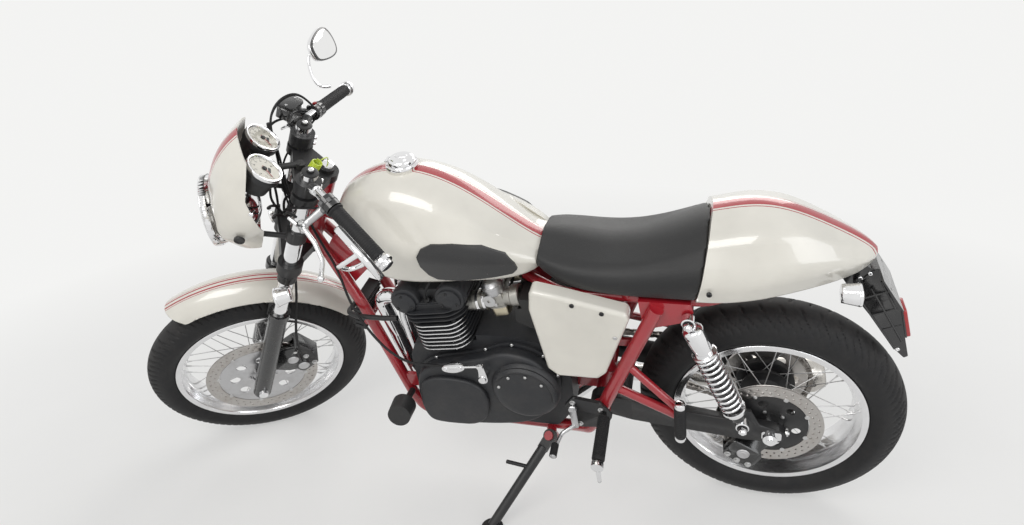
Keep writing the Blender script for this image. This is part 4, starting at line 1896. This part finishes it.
    def build(self, kit: Kit) -> None:
        """Adds the trim."""
        self.filler(kit)
        self.panels(kit)
        self.guard(kit)
        self.calipers(kit)
        self.rests(kit)
        self.pipes(kit)
        self.arm(kit)


# Studio

@dataclass
class Studio:
    """Pale floor, soft lamps and the camera at the photograph's place."""

    eye: Triple = (-0.1588, -1.7052, 1.4243)
    yaw: float = -16.16
    pitch: float = 15.35
    roll: float = 3.58
    focal: float = 686.8
    middle: Pair = (515.1, 154.9)
    image: Pair = (1024, 525)
    white: Colour = (0.90, 0.90, 0.89)

    def camera(self) -> None:
        """Places the camera."""
        yaw, pitch, roll = (radians(v) for v in (self.yaw, self.pitch, self.roll))
        ahead = vec(sin(yaw) * cos(pitch), cos(yaw) * cos(pitch), -sin(pitch))
        right = ahead.cross(vec(0, 0, 1)).normalized()
        down = ahead.cross(right)
        right_r = right * cos(roll) + down * sin(roll)
        down_r = down * cos(roll) - right * sin(roll)
        data = bpy.data.cameras.new("camera")
        camera = bpy.data.objects.new("camera", data)
        bpy.context.scene.collection.objects.link(camera)
        turn = Matrix((right_r, -down_r, -ahead)).transposed().to_4x4()
        shift = STANCE.chassis.translation
        camera.matrix_world = Matrix.Translation(Vector(self.eye) + vec(shift.x, shift.y, 0)) @ turn
        data.sensor_width = 36
        data.lens = self.focal / self.image[0] * 36
        data.shift_x = (self.image[0] / 2 - self.middle[0]) / self.image[0]
        data.shift_y = (self.middle[1] - self.image[1] / 2) / self.image[0]
        data.clip_start, data.clip_end = 0.05, 60
        bpy.context.scene.camera = camera

    def lamp(self, name: str, at: Triple, target: Triple, size: Pair, power: float, colour: Colour) -> None:
        """Adds a soft rectangular lamp."""
        data = bpy.data.lights.new(name, "AREA")
        data.shape, data.size, data.size_y, data.energy, data.color = "RECTANGLE", *size, power, colour
        obj = bpy.data.objects.new(name, data)
        bpy.context.scene.collection.objects.link(obj)
        turn = (Vector(at) - Vector(target)).to_track_quat("Z", "Y").to_matrix().to_4x4()
        obj.matrix_world = Matrix.Translation(Vector(at)) @ turn

    def floor(self) -> None:
        """Pale floor that keeps the shadow near the machine and fades into the white around it."""
        bpy.ops.object.select_all(action="DESELECT")
        bpy.ops.mesh.primitive_plane_add(size=24, location=(0, 0, 0))
        floor = bpy.context.active_object
        floor.name = "floor"
        sheet = Sheet("pale_floor")
        cloud = sheet.noise(1.4, 5, 0.6)
        speck = sheet.noise(70, 4, 0.7)
        colour = sheet.blend(cloud.ramp(0.35, 0.7), (0.74, 0.73, 0.71), (0.8, 0.79, 0.77))
        colour = sheet.blend(speck.ramp(0.6, 0.8) * 0.12, colour, (0.62, 0.6, 0.57))
        path = sheet.add("ShaderNodeLightPath", {}, {})
        seen = Wire(sheet, path.outputs["Is Camera Ray"])
        for ray in ("Is Glossy Ray", "Is Transmission Ray"):
            seen = seen + Wire(sheet, path.outputs[ray])
        far = sheet.add("ShaderNodeVectorMath", {"operation": "LENGTH"}, {0: sheet.place()})
        away = Wire(sheet, far.outputs["Value"])
        share = seen.clipped() * (away.ramp(1.1, 2.8) * 0.5 + 0.5)
        stone = sheet.add("ShaderNodeBsdfPrincipled", {}, {"Base Color": colour, "Roughness": cloud * 0.2 + 0.5,
                                                           "Normal": sheet.bump(speck, 0.12, 0.001)})
        glow = sheet.add("ShaderNodeEmission", {}, {"Color": self.white, "Strength": 1.0})
        mixed = sheet.add("ShaderNodeMixShader", {}, {0: share, 1: stone.outputs[0], 2: glow.outputs[0]})
        sheet.add("ShaderNodeOutputMaterial", {}, {0: mixed.outputs[0]})
        floor.data.materials.append(sheet.material)

    def world(self) -> None:
        """Soft even sky, white where the camera or a mirror sees it."""
        world = bpy.data.worlds.new("sky")
        bpy.context.scene.world = world
        world.use_nodes = True
        tree = world.node_tree
        tree.nodes.clear()
        path = tree.nodes.new("ShaderNodeLightPath")
        seen = tree.nodes.new("ShaderNodeMath")
        seen.operation = "MAXIMUM"
        tree.links.new(path.outputs["Is Camera Ray"], seen.inputs[0])
        tree.links.new(path.outputs["Is Glossy Ray"], seen.inputs[1])
        kinds = ("ShaderNodeBackground", "ShaderNodeBackground", "ShaderNodeMixShader")
        lit, shown, mix = (tree.nodes.new(kind) for kind in kinds)
        lit.inputs[0].default_value, lit.inputs[1].default_value = (0.92, 0.95, 1.0, 1), 0.42
        shown.inputs[0].default_value, shown.inputs[1].default_value = (*self.white, 1), 1.0
        tree.links.new(seen.outputs[0], mix.inputs[0])
        tree.links.new(lit.outputs[0], mix.inputs[1])
        tree.links.new(shown.outputs[0], mix.inputs[2])
        out = tree.nodes.new("ShaderNodeOutputWorld")
        tree.links.new(mix.outputs[0], out.inputs[0])

    def build(self) -> None:
        """Sets up the whole studio."""
        bpy.context.scene.view_settings.view_transform = "Standard"
        self.camera()
        self.floor()
        self.world()
        self.lamp("key", (-0.6, -2.6, 3.2), (0, 0, 0.5), (2.4, 1.6), 62, (1, 0.985, 0.96))
        self.lamp("fill", (2.8, -1.6, 2.0), (0, 0, 0.5), (1.8, 1.8), 26, (0.95, 0.97, 1))
        self.lamp("back", (0.4, 2.8, 2.6), (0, 0, 0.6), (3.0, 1.4), 40, (1, 0.98, 0.95))


def carried_over(kit: Kit) -> None:
    """Gives the CAD nodes that stay their finishes."""
    finishes = {
        "frame": kit.red, "rear_axle": kit.chrome, "crankcase": kit.crackle, "air_box": kit.plastic,
        "side_panels": kit.plain, "oil_cooler": kit.black, "fuel_tank": kit.tank,
        "knee_pads": kit.pad, "tail_cowl": kit.tail, "crash_bobbins": kit.plastic, "rear_sprocket": kit.disc,
        "fork_stanchions": kit.chrome, "fork_sliders": kit.gloss_black, "fork_yokes": kit.black, "front_cowl": kit.cowl,
        "instruments": kit.plastic, "front_axle": kit.chrome, "brake_hose": kit.rubber,
        "side_stand": kit.black, "engine_covers": kit.crackle, "cylinder_barrels": kit.crackle,
        "cylinder_head": kit.crackle,
    }
    for name, obj in frame["nodes"].items():
        material = finishes.get(name)
        if material:
            for k in range(max(1, len(obj.material_slots))):
                obj.material_slots[k].material = material


def main() -> None:
    """Builds the scene in order."""
    logging.basicConfig(level=logging.INFO, format="%(name)s: %(message)s")
    bpy.ops.object.select_all(action="DESELECT")
    kit = Kit()
    Studio().build()
    carried_over(kit)
    Tyre(Body.FRONT_WHEEL, "front_tyre", FRONT_AXLE, 318.5, 50, 48, 241, 39, 46, 0.9).build(kit.tyre_front)
    Tyre(Body.REAR_WHEEL, "rear_tyre", REAR_AXLE, 320, 65, 60, 229, 51, 44, 1.15).build(kit.tyre_rear)
    Wheel(Body.FRONT_WHEEL, "front", FRONT_AXLE, 241, 39, 46, 36.2).build(kit)
    Wheel(Body.REAR_WHEEL, "rear", REAR_AXLE, 229, 51, 62, 42.7).build(kit)
    Hubs().front(kit)
    Hubs().rear(kit)
    BrakeRotor(Body.FRONT_WHEEL, "front_disc", FRONT_AXLE, -60, 160, 36, 30, 8, 15, 40, 2).build(kit, kit.satin)
    BrakeRotor(Body.REAR_WHEEL, "rear_disc", REAR_AXLE, -75, 127.5, 34, 36, 6, 11, 36, 2).build(kit, kit.black)
    Shock().build(kit)
    Saddle().build(kit)
    DriveChain().build(kit)
    Engine().build(kit)
    Cockpit().build(kit)
    Mirrors().build(kit)
    Lamps().build(kit)
    Trim().build(kit)


if __name__ == "__main__":
    main()
